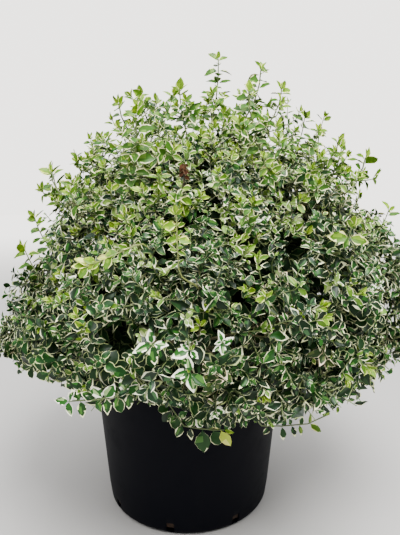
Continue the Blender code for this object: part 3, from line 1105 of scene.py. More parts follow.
def leafTree(finishes):
    # a leaf on every point, turned and sized by its attributes, each zone in its spray's colour
    inputs = {"Leaf shapes": None, "Size": 1.0, "Size spread": 0.12, "Width spread": 0.12,
              "Tilt spread": 0.12, "Seed": 0}
    tree, maker, wires = newNodesTree("leaves", inputs)
    tilt, seed = wires["Tilt spread"], wires["Seed"]

    def spread(label, step):
        return maker.chance(1 - wires[label], 1 + wires[label], seed + step)

    low, high = [maker.add("ShaderNodeCombineXYZ", {0: way, 1: way, 2: way})
                 for way in (0 - tilt, tilt)]
    turn = maker.add("FunctionNodeEulerToRotation", {0: maker.named("turn", "FLOAT_VECTOR")})
    values = {0: turn, 1: maker.chanceTurn(low, high, seed)}
    turn = maker.add("FunctionNodeRotateRotation", values, rotation_space="LOCAL")
    size = maker.named("size", "FLOAT") * wires["Size"] * spread("Size spread", 1)
    wide = size * spread("Width spread", 2)
    scale = maker.add("ShaderNodeCombineXYZ", {0: wide, 1: size, 2: size})
    points = maker.add("GeometryNodeMeshToPoints", {0: wires["Geometry"]})
    shape = maker.named("shape", "INT")
    leaves = maker.strew(points, wires["Leaf shapes"], turn, scale, shape)
    key = maker.named("shade", "INT") * 3 + maker.named("zone", "INT")
    return endTree(tree, maker.wearEach(leaves, key, finishes))


# growth: main twigs as in the solids, then finer and finer ones

growth = {
    "seed": 21,
    "mainSeed": 7,
    "mainCount": 92,
    "mainCrowding": 0.86,
    "mainDepths": (0.84, 0.94),
    "mainLowest": math.radians(32),
    "mainLift": 0.18,
    "mainBend": 0.45,
    "mainGirth": (0.0018, 0.00078),
    "mainSteps": 8,
    "woodGirth": 0.00198,
    "woodSteps": 6,
    "woodOverlap": 0.004,
    "layers": ((320, 0.30, 0.56), (660, 0.58, 0.80), (2560, 0.88, 1.01)),  # twigs, from, to
    "fineLowest": math.radians(35),
    "fineGirth": 0.0012,
    "fineSteps": 4,
    "sprigGirth": (0.0009, 0.00084),
    "tipGirth": 0.0006,
    "taper": 0.85,
    "branched": 0.75,  # the share of a twig that others grow from
    "lastOrder": 3,
    "innerFrom": 0.80,
    "crownThin": 0.06,
    "crownThinEase": 2,
    "relief": 0.055,
    "reliefEase": 1.8,
    "reliefScale": 7.5,
    "reliefSeed": 9,
    "wander": 0.006,
    "steepness": 1.25,
    "curveStart": 0.32,
    "curveEnd": 0.42,
    "lift": (-0.50, 0.75),
    "liftOver": (-0.45, 0.85),
    "endJitter": 0.38,
    "boxRoom": 0.010,
    "potRadius": 0.165,
    "potHeight": 0.264,
    "faceFrom": -0.05,
}
# what makes a place to branch from dear
knotCost = {"shortest": 0.034, "short": 4, "outRoom": 0.012, "out": 0.8, "turn": 0.022,
            "order": 0.004}
# the crown is less deep on its left, under the shoulder
notch = {"depth": 0.15, "rise": math.radians(18), "spread": math.radians(9),
         "leftFrom": 0.5, "leftEase": 1.8}
# how low leaves hang
skirt = {
    "foot": 0.208,
    "twigRoom": 0.006,
    "leafRoom": 0.003,
    "slope": 0.42,
    "from": 0.20,
    "bayRise": 0.030,
    "bayMiddle": -0.052,
    "bayWidth": 0.066,
    "leftRise": 0.036,
    "leftFrom": -0.105,
    "leftEase": 0.030,
    "ragged": 0.016,
    "raggedScale": 34,
}
# young shoots that stand out of the crown: the tips that show at the front, then others all round
shoots = {
    "leaders": (
        (0.047, 0.690), (0.108, 0.667), (0.145, 0.645), (-0.011, 0.638), (-0.071, 0.636),
        (-0.101, 0.619), (0.182, 0.604), (0.231, 0.556), (-0.147, 0.541), (-0.203, 0.518),
        (0.258, 0.496), (0.307, 0.462), (-0.247, 0.449), (-0.252, 0.401), (-0.170, 0.505),
    ),
    "sway": 0.02,
    "rise": 0.010,
    "girth": (0.0018, 0.0010),
    "steps": 10,
    "lean": (1.3, 0.15),
    "leanEase": 1.5,
    "upright": 1.6,
    "jitter": 0.10,
    "backCount": 8,
    "backFrom": 25,
    "backSpread": 130,
    "backRise": 38,
    "backStep": 9,
    "backHeights": (0.030, 0.055),
    "backEdge": 0.6,
    "risers": 190,
    "riserTurn": 1.7,
    "riserFrom": 0.90,
    "riserRise": (0.004, 0.030),
    "riserMore": 0.054,
    "riserEase": 1.3,
    "riserLowest": math.radians(27),
}
# places on the crown's face with young tips of their own shade: x, z, radius and shade
patches = (
    (-0.156, 0.387, 0.018, "lime"), (-0.113, 0.371, 0.014, "lime"), (-0.105, 0.456, 0.016, "lime"),
    (-0.085, 0.464, 0.016, "lime"), (-0.065, 0.467, 0.016, "limeDeep"),
    (-0.008, 0.487, 0.015, "lime"), (-0.013, 0.462, 0.014, "lime"), (0.025, 0.379, 0.015, "lime"),
    (0.143, 0.374, 0.016, "lime"), (0.193, 0.386, 0.016, "lime"), (0.071, 0.452, 0.017, "limeDeep"),
    (0.082, 0.430, 0.015, "limeDeep"), (0.118, 0.462, 0.015, "fresh"),
    (0.076, 0.395, 0.013, "lime"), (0.178, 0.311, 0.014, "lime"), (0.207, 0.311, 0.015, "lime"),
    (0.031, 0.547, 0.018, "lime"), (0.073, 0.554, 0.017, "lime"),
    (-0.027, 0.500, 0.014, "limeDeep"), (-0.101, 0.489, 0.015, "fresh"),
    (-0.138, 0.455, 0.015, "lime"), (0.165, 0.515, 0.016, "fresh"), (-0.081, 0.530, 0.016, "fresh"),
)
# gaps in the face where the shade inside shows: x, z and radius
hollows = (
    (-0.069, 0.357, 0.010), (-0.064, 0.334, 0.009), (-0.078, 0.374, 0.008), (0.095, 0.428, 0.008),
    (0.077, 0.484, 0.010), (0.127, 0.441, 0.009), (-0.001, 0.311, 0.015), (0.021, 0.280, 0.015),
    (0.085, 0.345, 0.012), (-0.020, 0.440, 0.009),
)
# shoots that catch the eye: points on the way out, then each leaf's place along it, the way
# across and up from there to its tip in millimetres, its kind and its shade
sprigs = {
    "hangingLeft": (
        (
            (-0.024, -0.202, 0.247), (-0.001, -0.212, 0.216), (0.016, -0.212, 0.213),
            (0.035, -0.212, 0.211), (0.049, -0.212, 0.211),
        ),
        (
            (0.17, -11, -17, "round", "deep"), (0.22, 3, -21, "round", "mid"),
            (0.05, -14, 6, "mature", "mid"), (0.05, 10, 8, "mature", "deep"),
            (0.1, -17, -5, "round", "mid"), (0.3, -15, -4, "mature", "mid"),
            (0.3, 12, 9, "mature", "white"), (0.48, 8, 14, "round", "mid"),
            (0.36, 14, 6, "mature", "deep"), (0.42, -8, -18, "mature", "mid"),
            (0.54, -2, -18, "mature", "deep"), (0.56, 4, 16, "mature", "mid"),
            (0.7, 2, -27, "mature", "mid"), (0.7, -9, 17, "pale", "white"),
            (0.84, 8, -17, "round", "mid"), (0.8, 5, 15, "young", "limeDeep"),
            (0.92, -7, 14, "pale", "cream"), (0.95, 12, -19, "mature", "cream"),
            (1.0, 11, 15, "pale", "white"), (1.0, 13, -4, "young", "lime"),
        ),
    ),
    "hangingRight": (
        (
            (0.106, -0.200, 0.210), (0.124, -0.200, 0.210), (0.156, -0.200, 0.213),
            (0.180, -0.200, 0.225),
        ),
        (
            (0.02, -8, -12, "mature", "deep"), (0.02, -6, 14, "mature", "mid"),
            (0.22, 2, -19, "mature", "mid"), (0.22, 4, 14, "mature", "deep"),
            (0.38, 3, -14, "mature", "deep"), (0.38, -3, 12, "mature", "mid"),
            (0.68, 13, -11, "young", "limeDeep"), (0.68, 1, 12, "mature", "fresh"),
            (0.95, 6, 9, "young", "fresh"), (0.95, -4, 7, "young", "lime"),
            (0.51, 4, 13, "mature", "mid"), (0.51, 3, -12, "mature", "fresh"),
        ),
    ),
    "whiteLeft": (
        ((-0.046, -0.282, 0.292), (-0.090, -0.290, 0.286), (-0.122, -0.290, 0.284)),
        (
            (1.0, -16, 4, "large", "white"), (1.0, 6, 15, "pale", "white"),
            (1.0, 1, -17, "large", "white"), (0.84, 3, -17, "large", "mid"),
            (0.84, -7, 13, "mature", "mid"), (0.8, 11, 8, "mature", "blue"),
            (0.64, -12, 9, "large", "mid"), (0.62, 4, -13, "mature", "mid"),
            (0.52, -11, 18, "pale", "white"), (0.5, 9, 16, "large", "white"),
            (0.48, 1, -17, "large", "mid"), (0.34, 4, -18, "round", "mid"),
            (0.34, -6, 13, "mature", "mid"), (0.32, 12, 7, "mature", "blue"),
            (0.18, -8, 16, "pale", "white"), (0.18, 11, 10, "large", "white"),
            (0.16, 2, -16, "large", "mid"), (0.02, -5, 16, "large", "mid"),
            (0.02, 9, -12, "large", "blue"), (0.02, 13, 8, "pale", "white"),
        ),
    ),
    "rightEdge": (
        ((0.242, -0.110, 0.260), (0.272, -0.120, 0.271), (0.292, -0.120, 0.282)),
        (
            (1.0, 5, 14, "mature", "mid"), (1.0, 15, 4, "large", "deep"),
            (0.92, 8, -14, "mature", "mid"), (0.66, 2, -18, "large", "deep"),
            (0.66, -4, 15, "mature", "mid"), (0.36, 7, -16, "large", "deep"),
            (0.32, -5, 14, "mature", "deep"), (0.06, 3, -16, "mature", "mid"),
            (0.04, -6, 13, "mature", "deep"),
        ),
    ),
    "whiteUpper": (
        ((-0.028, -0.325, 0.359),),
        (
            (1.0, -1, 16, "pale", "white"), (1.0, -18, -7, "pale", "white"),
            (1.0, 18, -1, "pale", "white"), (1.0, 5, -22, "large", "mid"),
            (1.0, 3, -3, "young", "fresh"),
        ),
    ),
    "whiteMiddle": (
        ((0.009, -0.325, 0.353),),
        (
            (1.0, -18, -5, "pale", "white"), (1.0, -9, 7, "pale", "white"),
            (1.0, 8, -8, "pale", "white"), (1.0, 1, 6, "young", "lime"),
            (1.0, 5, 8, "young", "limeDeep"),
        ),
    ),
    "whiteLower": (
        ((0.009, -0.325, 0.330),),
        (
            (1.0, 1, 17, "pale", "white"), (1.0, -17, 0, "pale", "white"),
            (1.0, 4, -20, "pale", "white"), (1.0, 17, -16, "mature", "mid"),
            (1.0, -3, 4, "young", "lime"), (1.0, -10, -12, "mature", "mid"),
        ),
    ),
    "limeShoot": (
        ((-0.050, -0.268, 0.450), (-0.074, -0.278, 0.440), (-0.098, -0.284, 0.430)),
        (
            (1.0, -16, 2, "mature", "lime"), (1.0, -9, -13, "leader", "limeDeep"),
            (1.0, -11, 8, "mature", "cream"), (0.82, -13, 3, "mature", "lime"),
            (0.78, -7, -14, "mature", "limeDeep"), (0.74, -15, -9, "young", "lime"),
            (0.56, -14, 1, "mature", "cream"), (0.5, -8, -13, "leader", "limeDeep"),
            (0.34, -15, 0, "mature", "limeDeep"), (0.3, -3, -11, "young", "leader"),
            (0.14, -13, 4, "young", "limeDeep"), (0.08, -8, -9, "young", "fresh"),
        ),
    ),
    "midShoot": (
        ((-0.003, -0.288, 0.428), (-0.004, -0.294, 0.456), (-0.005, -0.290, 0.484)),
        (
            (1.0, -2, 11, "young", "lime"), (1.0, 7, 8, "young", "lime"),
            (1.0, -8, 5, "young", "tip"), (0.8, -13, 1, "leader", "lime"),
            (0.8, 10, 3, "young", "limeDeep"), (0.58, -10, -4, "leader", "limeDeep"),
            (0.58, 13, -4, "leader", "lime"), (0.34, -9, 2, "young", "fresh"),
            (0.34, 9, -3, "young", "limeDeep"), (0.12, 7, 4, "young", "fresh"),
            (0.12, -8, -5, "young", "fresh"),
        ),
    ),
    "limePair": (
        ((0.182, -0.250, 0.455), (0.184, -0.252, 0.468)),
        (
            (0.1, -23, -1, "large", "limeDeep"), (0.1, 22, -3, "large", "limeDeep"),
            (1.0, 2, 13, "young", "lime"), (1.0, 10, 9, "young", "lime"),
            (1.0, -7, 8, "leader", "limeDeep"), (0.0, -4, -10, "leader", "leader"),
        ),
    ),
    "deadTip": (
        ((0.001, -0.208, 0.523), (0.001, -0.213, 0.530), (0.000, -0.214, 0.537)),
        (
            (0.1, -5, 5, "young", "dead"), (0.1, 5, -6, "young", "dead"),
            (0.3, -6, -5, "young", "dead"), (0.3, 5, 4, "young", "dead"),
            (0.45, -4, -8, "young", "dead"), (0.5, 6, -4, "young", "dead"),
            (0.65, -6, 2, "young", "dead"), (0.7, 4, -8, "young", "dead"),
            (0.85, -5, -7, "young", "dead"), (0.9, 6, -2, "young", "dead"),
            (1.0, 2, -8, "young", "dead"), (1.0, -3, -7, "young", "dead"),
        ),
    ),
}


def surfaceShare(point):
    # 0 at the heart, 1 on the leafy outline
    offset = point - crown["heart"]
    if offset.length < 1e-6:
        return 0.0
    return offset.length / crownSurface(offset.normalized())


def outwardAt(point):
    offset = point - crown["heart"]
    offset.z *= growth["steepness"]
    return offset.normalized()


def inPot(point):
    return point.z < growth["potHeight"] and math.hypot(point.x, point.y) < growth["potRadius"]


def inBox(point):
    low, high = cadBox
    room = growth["boxRoom"]
    return all(low[i] - room < point[i] < high[i] + room for i in range(3))


def onFace(point):
    return point.y < growth["faceFrom"]


def inSpot(point, spot):
    x, z, radius = spot[:3]
    return onFace(point) and math.hypot(point.x - x, point.z - z) < radius


def inHollow(point):
    return any(inSpot(point, hollow) for hollow in hollows)


def notchAt(direction):
    far = (math.asin(direction.z) - notch["rise"]) / notch["spread"]
    left = clamped(-notch["leftEase"] * direction.x - notch["leftFrom"])
    return notch["depth"] * math.exp(-far * far) * left


def thinning(direction):
    # the outer twigs end deeper towards the top
    return growth["crownThin"] * clamped(direction.z * growth["crownThinEase"])


def skirtFoot(point):
    # higher towards the outside, at the left, and before the pot, where its front shows
    side = (point.x - skirt["bayMiddle"]) / skirt["bayWidth"]
    bay = math.exp(-side**4) if onFace(point) else 0
    left = clamped((skirt["leftFrom"] - point.x) / skirt["leftEase"])
    outer = max(0, math.hypot(point.x, point.y) - skirt["from"])
    low = skirt["foot"] + skirt["slope"] * outer
    rises = skirt["bayRise"] * bay + skirt["leftRise"] * left
    return low + rises + skirt["ragged"] * noise.noise(point * skirt["raggedScale"])


def nearestMass(point, masses):
    return min(masses, key=lambda mass: (point - mass["middle"]).length)


def curvePoints(start, startWay, end, endWay, steps):
    # a smooth line that leaves along one direction and arrives along another
    reach = (end - start).length
    first = start + startWay * reach * growth["curveStart"]
    second = end - endWay * reach * growth["curveEnd"]
    found = []
    for t in [step / steps for step in range(steps + 1)]:
        near = start * (1 - t) ** 3 + first * 3 * t * (1 - t) ** 2
        found.append(near + second * 3 * t**2 * (1 - t) + end * t**3)
    return found


def placeBack(path, distance):
    # the point and direction at a distance back from the end of a path
    for step in range(len(path) - 1, 0, -1):
        span = path[step] - path[step - 1]
        if distance <= span.length:
            return path[step] - span.normalized() * distance, span.normalized()
        distance -= span.length
    return None, None


def pathLength(path):
    return sum((b - a).length for a, b in zip(path, path[1:]))


def jitter(rng, amount):
    return Vector([either(rng, amount) for _ in range(3)])


def endWay(end, kind, rng):
    # which way a twig points at its end: up on the dome, out and a little down on the skirt
    outward = outwardAt(end)
    if kind in ("leader", "riser"):
        lean = mixed(*shoots["lean"], clamped(outward.z * shoots["leanEase"]))
        way = upward * shoots["upright"] + outward * lean + jitter(rng, shoots["jitter"])
        return way.normalized()
    lift = mixed(*growth["lift"], ramp(outward.z, *growth["liftOver"]))
    return (outward + upward * lift + jitter(rng, growth["endJitter"])).normalized()


def mainEnds():
    # the ends of the main twigs and of the young shoots, as in the solids
    rng = random.Random(growth["mainSeed"])
    ends = []
    for index in range(growth["mainCount"]):
        share = ((index + 0.5) / growth["mainCount"]) ** growth["mainCrowding"]
        rise = 1 - share * (1 + math.sin(growth["mainLowest"]))
        direction = bearingVector(index * goldenAngle, math.asin(rise))
        end = crownPoint(direction, rng.uniform(*growth["mainDepths"]) - notchAt(direction))
        end.z = max(end.z, skirtFoot(end) + skirt["twigRoom"])
        ends.append((end, "mature"))
    for index, (x, z) in enumerate(shoots["leaders"]):
        ends.append((Vector((x, shoots["sway"] * (-1) ** index, z + shoots["rise"])), "leader"))
    for index in range(shoots["backCount"]):
        bearing = math.radians(shoots["backFrom"] + shoots["backSpread"] * (index // 2) / 3)
        rise = math.radians(shoots["backRise"] + shoots["backStep"] * (index % 3))
        direction = bearingVector(bearing if index % 2 else -bearing, rise)
        low, high = shoots["backHeights"]
        height = low if abs(direction.x) > shoots["backEdge"] else high
        ends.append((crownPoint(direction) + upward * height, "leader"))
    return ends


def fineEnds(rng):
    # layers of fine twigs from the inside out, and short shoots that rise from the dome
    ends = []
    low = math.sin(growth["fineLowest"])
    places = [(depths, index / count)
              for count, *depths in growth["layers"] for index in range(count)]
    for number, (depths, share) in enumerate(places):
        direction = bearingVector(number * goldenAngle, math.asin(mixed(1, -low, share)))
        depth = rng.uniform(*depths) - thinning(direction)
        depth -= notchAt(direction)
        dip = noise.noise(direction * growth["reliefScale"] + upward * growth["reliefSeed"])
        depth -= growth["relief"] * clamped(dip * growth["reliefEase"])
        end = crownPoint(direction, depth) + jitter(rng, growth["wander"])
        end.z = max(end.z, skirtFoot(end) + skirt["twigRoom"])
        if not inPot(end) and not (depth > growth["innerFrom"] and inHollow(end)):
            ends.append((end, "mature"))
    for index in range(shoots["risers"]):
        share = (index + 0.5) / shoots["risers"]
        rise = mixed(1.0, math.sin(shoots["riserLowest"]), share)
        direction = bearingVector(index * goldenAngle * shoots["riserTurn"], math.asin(rise))
        height = rng.uniform(*shoots["riserRise"])
        height += rng.uniform(0, shoots["riserMore"]) * clamped(rise * shoots["riserEase"])
        ends.append((crownPoint(direction, shoots["riserFrom"]) + upward * height, "riser"))
    ends.sort(key=lambda item: (item[0] - crown["heart"]).length)
    return ends


def bestKnot(end, knots):
    # the cheapest place to branch from: near, not further out than the end, and not bent back
    depth = (end - crown["heart"]).length

    def cost(knot):
        place, way, _, order, _ = knot
        span = end - place
        length = max(span.length, 1e-5)
        short = max(0, knotCost["shortest"] - length) * knotCost["short"]
        out = max(0, (place - crown["heart"]).length - depth + knotCost["outRoom"])
        turn = 1 - span.dot(way) / length
        plain = length + short + out * knotCost["out"]
        return plain + knotCost["turn"] * turn + knotCost["order"] * order

    return min(knots, key=cost)


def addTwig(twigs, knots, mass, path, girths, kind, order):
    # adds a twig and the places where others may grow from it
    if order and any(inPot(point) for point in path[2:]):
        return
    last = len(path) - 1
    radii = [mixed(*girths, step / last) for step in range(last + 1)]
    twig = {"path": path, "radii": radii, "kind": kind, "mass": mass["name"],
            "order": order, "carries": order < 2}
    twigs.append(twig)
    if order > growth["lastOrder"]:
        return
    reach = last + 1 if order == 0 else int(last * growth["branched"]) + 1
    for step in range(1, reach):
        way = (path[min(step + 1, last)] - path[step - 1]).normalized()
        knots[mass["name"]].append((path[step], way, radii[step], order, twig))


def growTwigs(masses):
    # every twig of every mass: its path, its radii, its kind and the mass that it belongs to
    rng = random.Random(growth["seed"])
    twigs = []
    knots = {mass["name"]: [] for mass in masses}
    for mass in masses:
        bough, _ = boughPath(mass, growth["woodSteps"])
        onward = (bough[-1] - bough[-2]).normalized()
        root = bough[-1] - onward * growth["woodOverlap"]
        path = curvePoints(root, onward, mass["middle"], mass["outward"], growth["woodSteps"])
        addTwig(twigs, knots, mass, path, (stem["boughTip"], growth["woodGirth"]), "wood", 0)
    for end, kind in mainEnds():
        mass = nearestMass(end, masses)
        middle = mass["middle"]
        span = end - middle
        if kind == "leader":
            way = endWay(end, kind, rng)
            path = curvePoints(middle, span.normalized(), end, way, shoots["steps"])
            addTwig(twigs, knots, mass, path, shoots["girth"], kind, 1)
            continue
        bend = end - (span + upward * growth["mainLift"] * span.length) * growth["mainBend"]
        path = bendPoints(middle, bend, end, growth["mainSteps"])
        addTwig(twigs, knots, mass, path, growth["mainGirth"], kind, 1)
    for end, kind in fineEnds(rng):
        mass = nearestMass(end, masses)
        start, way, girth, order, parent = bestKnot(end, knots[mass["name"]])
        parent["carries"] = True
        path = curvePoints(start, way, end, endWay(end, kind, rng), growth["fineSteps"])
        girths = (min(growth["fineGirth"], girth * growth["taper"]), growth["tipGirth"])
        addTwig(twigs, knots, mass, path, girths, kind, order + 1)
    for name, (points, _) in sprigs.items():
        points = [Vector(point) for point in points]
        first = points[0]
        mass = nearestMass(first, masses)
        start, way, _, order, parent = bestKnot(first, knots[mass["name"]])
        parent["carries"] = True
        onward = (points[-1] - first).normalized() if len(points) > 1 else outwardAt(first)
        path = curvePoints(start, way, first, onward, growth["fineSteps"]) + points[1:]
        addTwig(twigs, knots, mass, path, growth["sprigGirth"], name, order + 1)
    return twigs


# leaves: opposite pairs from the tip back

leafing = {
    "bareRoot": 0.006,
    "tipRoom": 0.0008,
    "lengths": (0.70, 1.30, 0.95),
    "lengthShares": (1.20, 0.92),
    "innerShares": (1.0, 0.62),
    "innerOver": (0.58, 0.22),
    "openingSpread": 0.3,
    "turnSpread": 0.15,
    "spacingSpread": (0.85, 1.15),
    "oldSpacing": 0.0130,
    "depth": 0.20,
    "reach": 1.07,
    "hollowDepth": 0.80,
    "lightFront": 0.40,
    "lightUp": (0.35, 0.65),
    "lightOver": (-0.3, 1.0),
    "hang": (0.42, 0.06),
    "hangOver": (-0.35, 0.7),
    "face": 1.15,
    "faceForward": 0.5,
    "shootSide": 0.20,
    "shootHang": 0.10,
    "shootFace": 0.95,
    "sprigForward": 0.22,
    "sprigFace": (0, -1, 0.45),
    "sprigJitter": 0.25,
    "sprigClear": 0.55,
    "sprigRoom": 0.008,
}
# spacing and reach of the leaf pairs, leaf length, then from the tip back: size, opening
# and crowding; how flat leaves lie to the light, and how much they tilt at random
sprays = {
    "mature": {
        "spacing": 0.0082, "reach": 0.056, "length": 0.0138, "sizes": (0.58, 0.86, 1.0, 1.12, 1.2),
        "opening": (34, 52, 66, 74), "crowding": (0.55, 1.0), "flat": 0.45, "tilt": 0.68,
    },
    "round": {
        "spacing": 0.008, "reach": 0.056, "length": 0.0138, "sizes": (0.6, 0.9, 1.0, 1.1, 1.2),
        "opening": (40, 56, 66, 72), "crowding": (0.55, 1.0), "flat": 0.5, "tilt": 0.52,
    },
    "young": {
        "spacing": 0.009, "reach": 0.05, "length": 0.0122, "sizes": (0.66, 0.94, 1.0),
        "opening": (24, 44, 60, 70), "crowding": (0.45, 0.75, 1.0), "flat": 0.2, "tilt": 0.55,
    },
    "leader": {
        "spacing": 0.0092, "reach": 0.125, "length": 0.021, "sizes": (0.7, 0.86, 0.95, 1.0),
        "opening": (20, 50, 72, 84), "crowding": (0.28, 0.5, 1.0), "flat": 0.0, "tilt": 0.4,
    },
    "riser": {
        "spacing": 0.0098, "reach": 0.085, "length": 0.015, "sizes": (0.62, 0.86, 0.96, 1.0),
        "opening": (20, 46, 64, 76), "crowding": (0.28, 0.5, 1.0), "flat": 0.0, "tilt": 0.44,
    },
    "inner": {
        "spacing": 0.013, "reach": 0.2, "length": 0.025, "sizes": (0.8, 1.0),
        "opening": (40, 56, 66, 74), "crowding": (1.0,), "flat": 0.25, "tilt": 0.8,
    },
}
# how sprays are dealt out over the crown, and shades over their pairs
dealing = {
    "highOver": (0.24, 0.36),
    "youngShares": (0.01, 0.08),
    "youngClump": 0.05,
    "clumpScale": 13,
    "clumpSeed": 5,
    "roundBelow": 0.45,
    "roundFrom": 0.12,
    "roundScale": 9,
    "youngPairs": 3,
    "shootFresh": 0.6,
    "firstWeights": (9, 1.2, 0.4, 0.4),
    "youngWeights": (6, 1, 1),
    "oldWeights": (6, 1, 5),
}
# the shades that a spray may have, and how often
shadeMixes = {
    "riser": {"leader": 5, "fresh": 2, "limeDeep": 1, "light": 1, "mid": 4},
    # inner leaves are dealt shaded and old, whose darkness is painted shade
    "inner": {"shaded": 5, "old": 2},
    "tips": {"lime": 3, "limeDeep": 3, "fresh": 3},
    "round": {"round": 3, "deep": 2},
}
# how often low down, how often high up, and how late it changes on the way up: the deep shades low
# down are partly painted shade, the fresh and light ones high up partly painted light
matureShades = {
    "deep": (8, 0.5, 1),
    "mid": (4, 4, 1),
    "blue": (2.8, 0.6, 1),
    "fresh": (0, 3, 2),
    "light": (0, 6, 3),
    "white": (0.5, 0.5, 1),
    "tan": (0.6, 0.6, 1),
}


def highShare(point):
    return ramp(point.z, *dealing["highOver"])


def dealt(mix, rng):
    return rng.choices(list(shadeMixes[mix]), list(shadeMixes[mix].values()))[0]


def sprayOf(twig, rng):
    # the kind of spray on a twig and its shade: fresher high up, and paler high up and darker low
    # down, partly as painted light and painted shade
    kind, end = twig["kind"], twig["path"][-1]
    if kind == "leader":
        return "leader", "leader"
    if kind == "riser":
        return "riser", dealt("riser", rng)
    share = surfaceShare(end)
    if share < growth["innerFrom"] - thinning(outwardAt(end)):
        return "inner", dealt("inner", rng)
    outer = share > growth["innerFrom"]
    for patch in patches:
        if outer and inSpot(end, patch):
            return "young", patch[3]
    high = highShare(end)
    clump = noise.noise(end * dealing["clumpScale"] + Vector((dealing["clumpSeed"], 0, 0)))
    chance = mixed(*dealing["youngShares"], high) + dealing["youngClump"] * max(clump, 0)
    if outer and rng.random() < chance:
        return "young", dealt("tips", rng)
    if high < dealing["roundBelow"]:
        if noise.noise(end * dealing["roundScale"]) > dealing["roundFrom"]:
            return "round", dealt("round", rng)
    weights = [mixed(low, top, high**power) for low, top, power in matureShades.values()]
    return "mature", rng.choices(list(matureShades), weights)[0]


def leafKind(name, shade, pair):
    if name == "leader":
        return "leader"
    if name in ("young", "riser"):
        return "young" if pair < dealing["youngPairs"] else "grown"
    if shade == "white" and pair < dealing["youngPairs"]:
        return "pale"
    return "grown" if name == "mature" and pair >= 2 else name


def leafShade(shade, name, pair, rng):
    # youngest pairs are fresher than the rest of their spray
    if name in ("leader", "riser"):
        if pair < 2:
            return rng.choice(("tip", "tip", "lime") if pair == 0 else ("lime", "limeDeep"))
        return "limeDeep" if pair == 2 and rng.random() < dealing["shootFresh"] else shade
    if name == "inner":
        return shade
    if name == "young":
        if pair < 2:
            return shade
        return "fresh" if pair == 2 else rng.choice(("mid", "deep"))
    youngPair = pair < dealing["youngPairs"]
    if shade == "white":
        return "white" if youngPair else rng.choice(("mid", "blue"))
    if pair == 0:
        return rng.choices((shade, "fresh", "limeDeep", "white"), dealing["firstWeights"])[0]
    weights = dealing["youngWeights" if youngPair else "oldWeights"]
    return rng.choices((shade, "deep", "old"), weights)[0]


def leafTurn(along, normal):
    # the turn that lays a leaf's length along one direction and its upper side towards another
    across = along.cross(normal).normalized()
    normal = across.cross(along).normalized()
    return Matrix((across, along, normal)).transposed().to_euler()


def lightAt(point):
    outward = outwardAt(point)
    front = Vector((0, -leafing["lightFront"], 0))
    rise = mixed(*leafing["lightUp"], ramp(outward.z, *leafing["lightOver"]))
    return (outward + front + upward * rise).normalized()


def turnLeaf(here, tangent, side, opening, spray, free, rng):
    # a leaf's direction and upper side; on the long shoots it faces out of the crown
    light = lightAt(here)
    along = tangent * math.cos(opening) + side * math.sin(opening)
    if free:
        away = (here.x - crown["heart"].x, here.y - leafing["shootSide"], 0)
        normal = Vector(away).normalized() * leafing["shootFace"] + tangent
        along.z -= leafing["shootHang"]
        return along.normalized(), normal + jitter(rng, spray["tilt"])
    along -= light * along.dot(light) * spray["flat"]
    along += upward * -mixed(*leafing["hang"], ramp(outwardAt(here).z, *leafing["hangOver"]))
    normal = light * leafing["face"] + tangent * leafing["faceForward"]
    return along.normalized(), normal + jitter(rng, spray["tilt"])


def leafFits(here, tip, free):
    # whether a leaf is clear of the pot, in reach of the crown and out of its gaps
    if inPot(here) or inPot(tip) or not inBox(tip) or surfaceShare(here) <= leafing["depth"]:
        return False
    if free:
        return True
    share = surfaceShare(tip)
    if share > leafing["hollowDepth"] and inHollow(tip):
        return False
    return tip.z >= skirtFoot(tip) + skirt["leafRoom"] and share < leafing["reach"]


def hidesSprig(point, kept):
    # whether a leaf would stand before a leaf of the shoots that catch the eye, or in it
    if not onFace(point):
        return False
    for middle, size in kept:
        near = math.hypot(point.x - middle.x, point.z - middle.z) < size * leafing["sprigClear"]
        if near and point.y < middle.y + leafing["sprigRoom"]:
            return True
    return False


def forPair(values, pair):
    # the value for a pair, where the last one holds for all older pairs
    return values[min(pair, len(values) - 1)]


def sprigLeaves(twig, rng):
    # the leaves of one of the shoots that catch the eye
    points, rows = sprigs[twig["kind"]]
    length = pathLength([Vector(point) for point in points])
    leaves = []
    for share, across, up, kind, shade in rows:
        root, _ = placeBack(twig["path"], length * (1 - share) + 1e-5)
        forward = -leafing["sprigForward"] * math.hypot(across, up)
        span = Vector((across, forward, up)) * 0.001
        normal = Vector(leafing["sprigFace"]) + jitter(rng, leafing["sprigJitter"])
        leaves.append({
            "place": root, "turn": leafTurn(span.normalized(), normal), "size": span.length,
            "mass": twig["mass"], "shape": rng.choice(kindNumbers[kind]), "shade": shade,
            "middle": root + span / 2,
        })
    return leaves


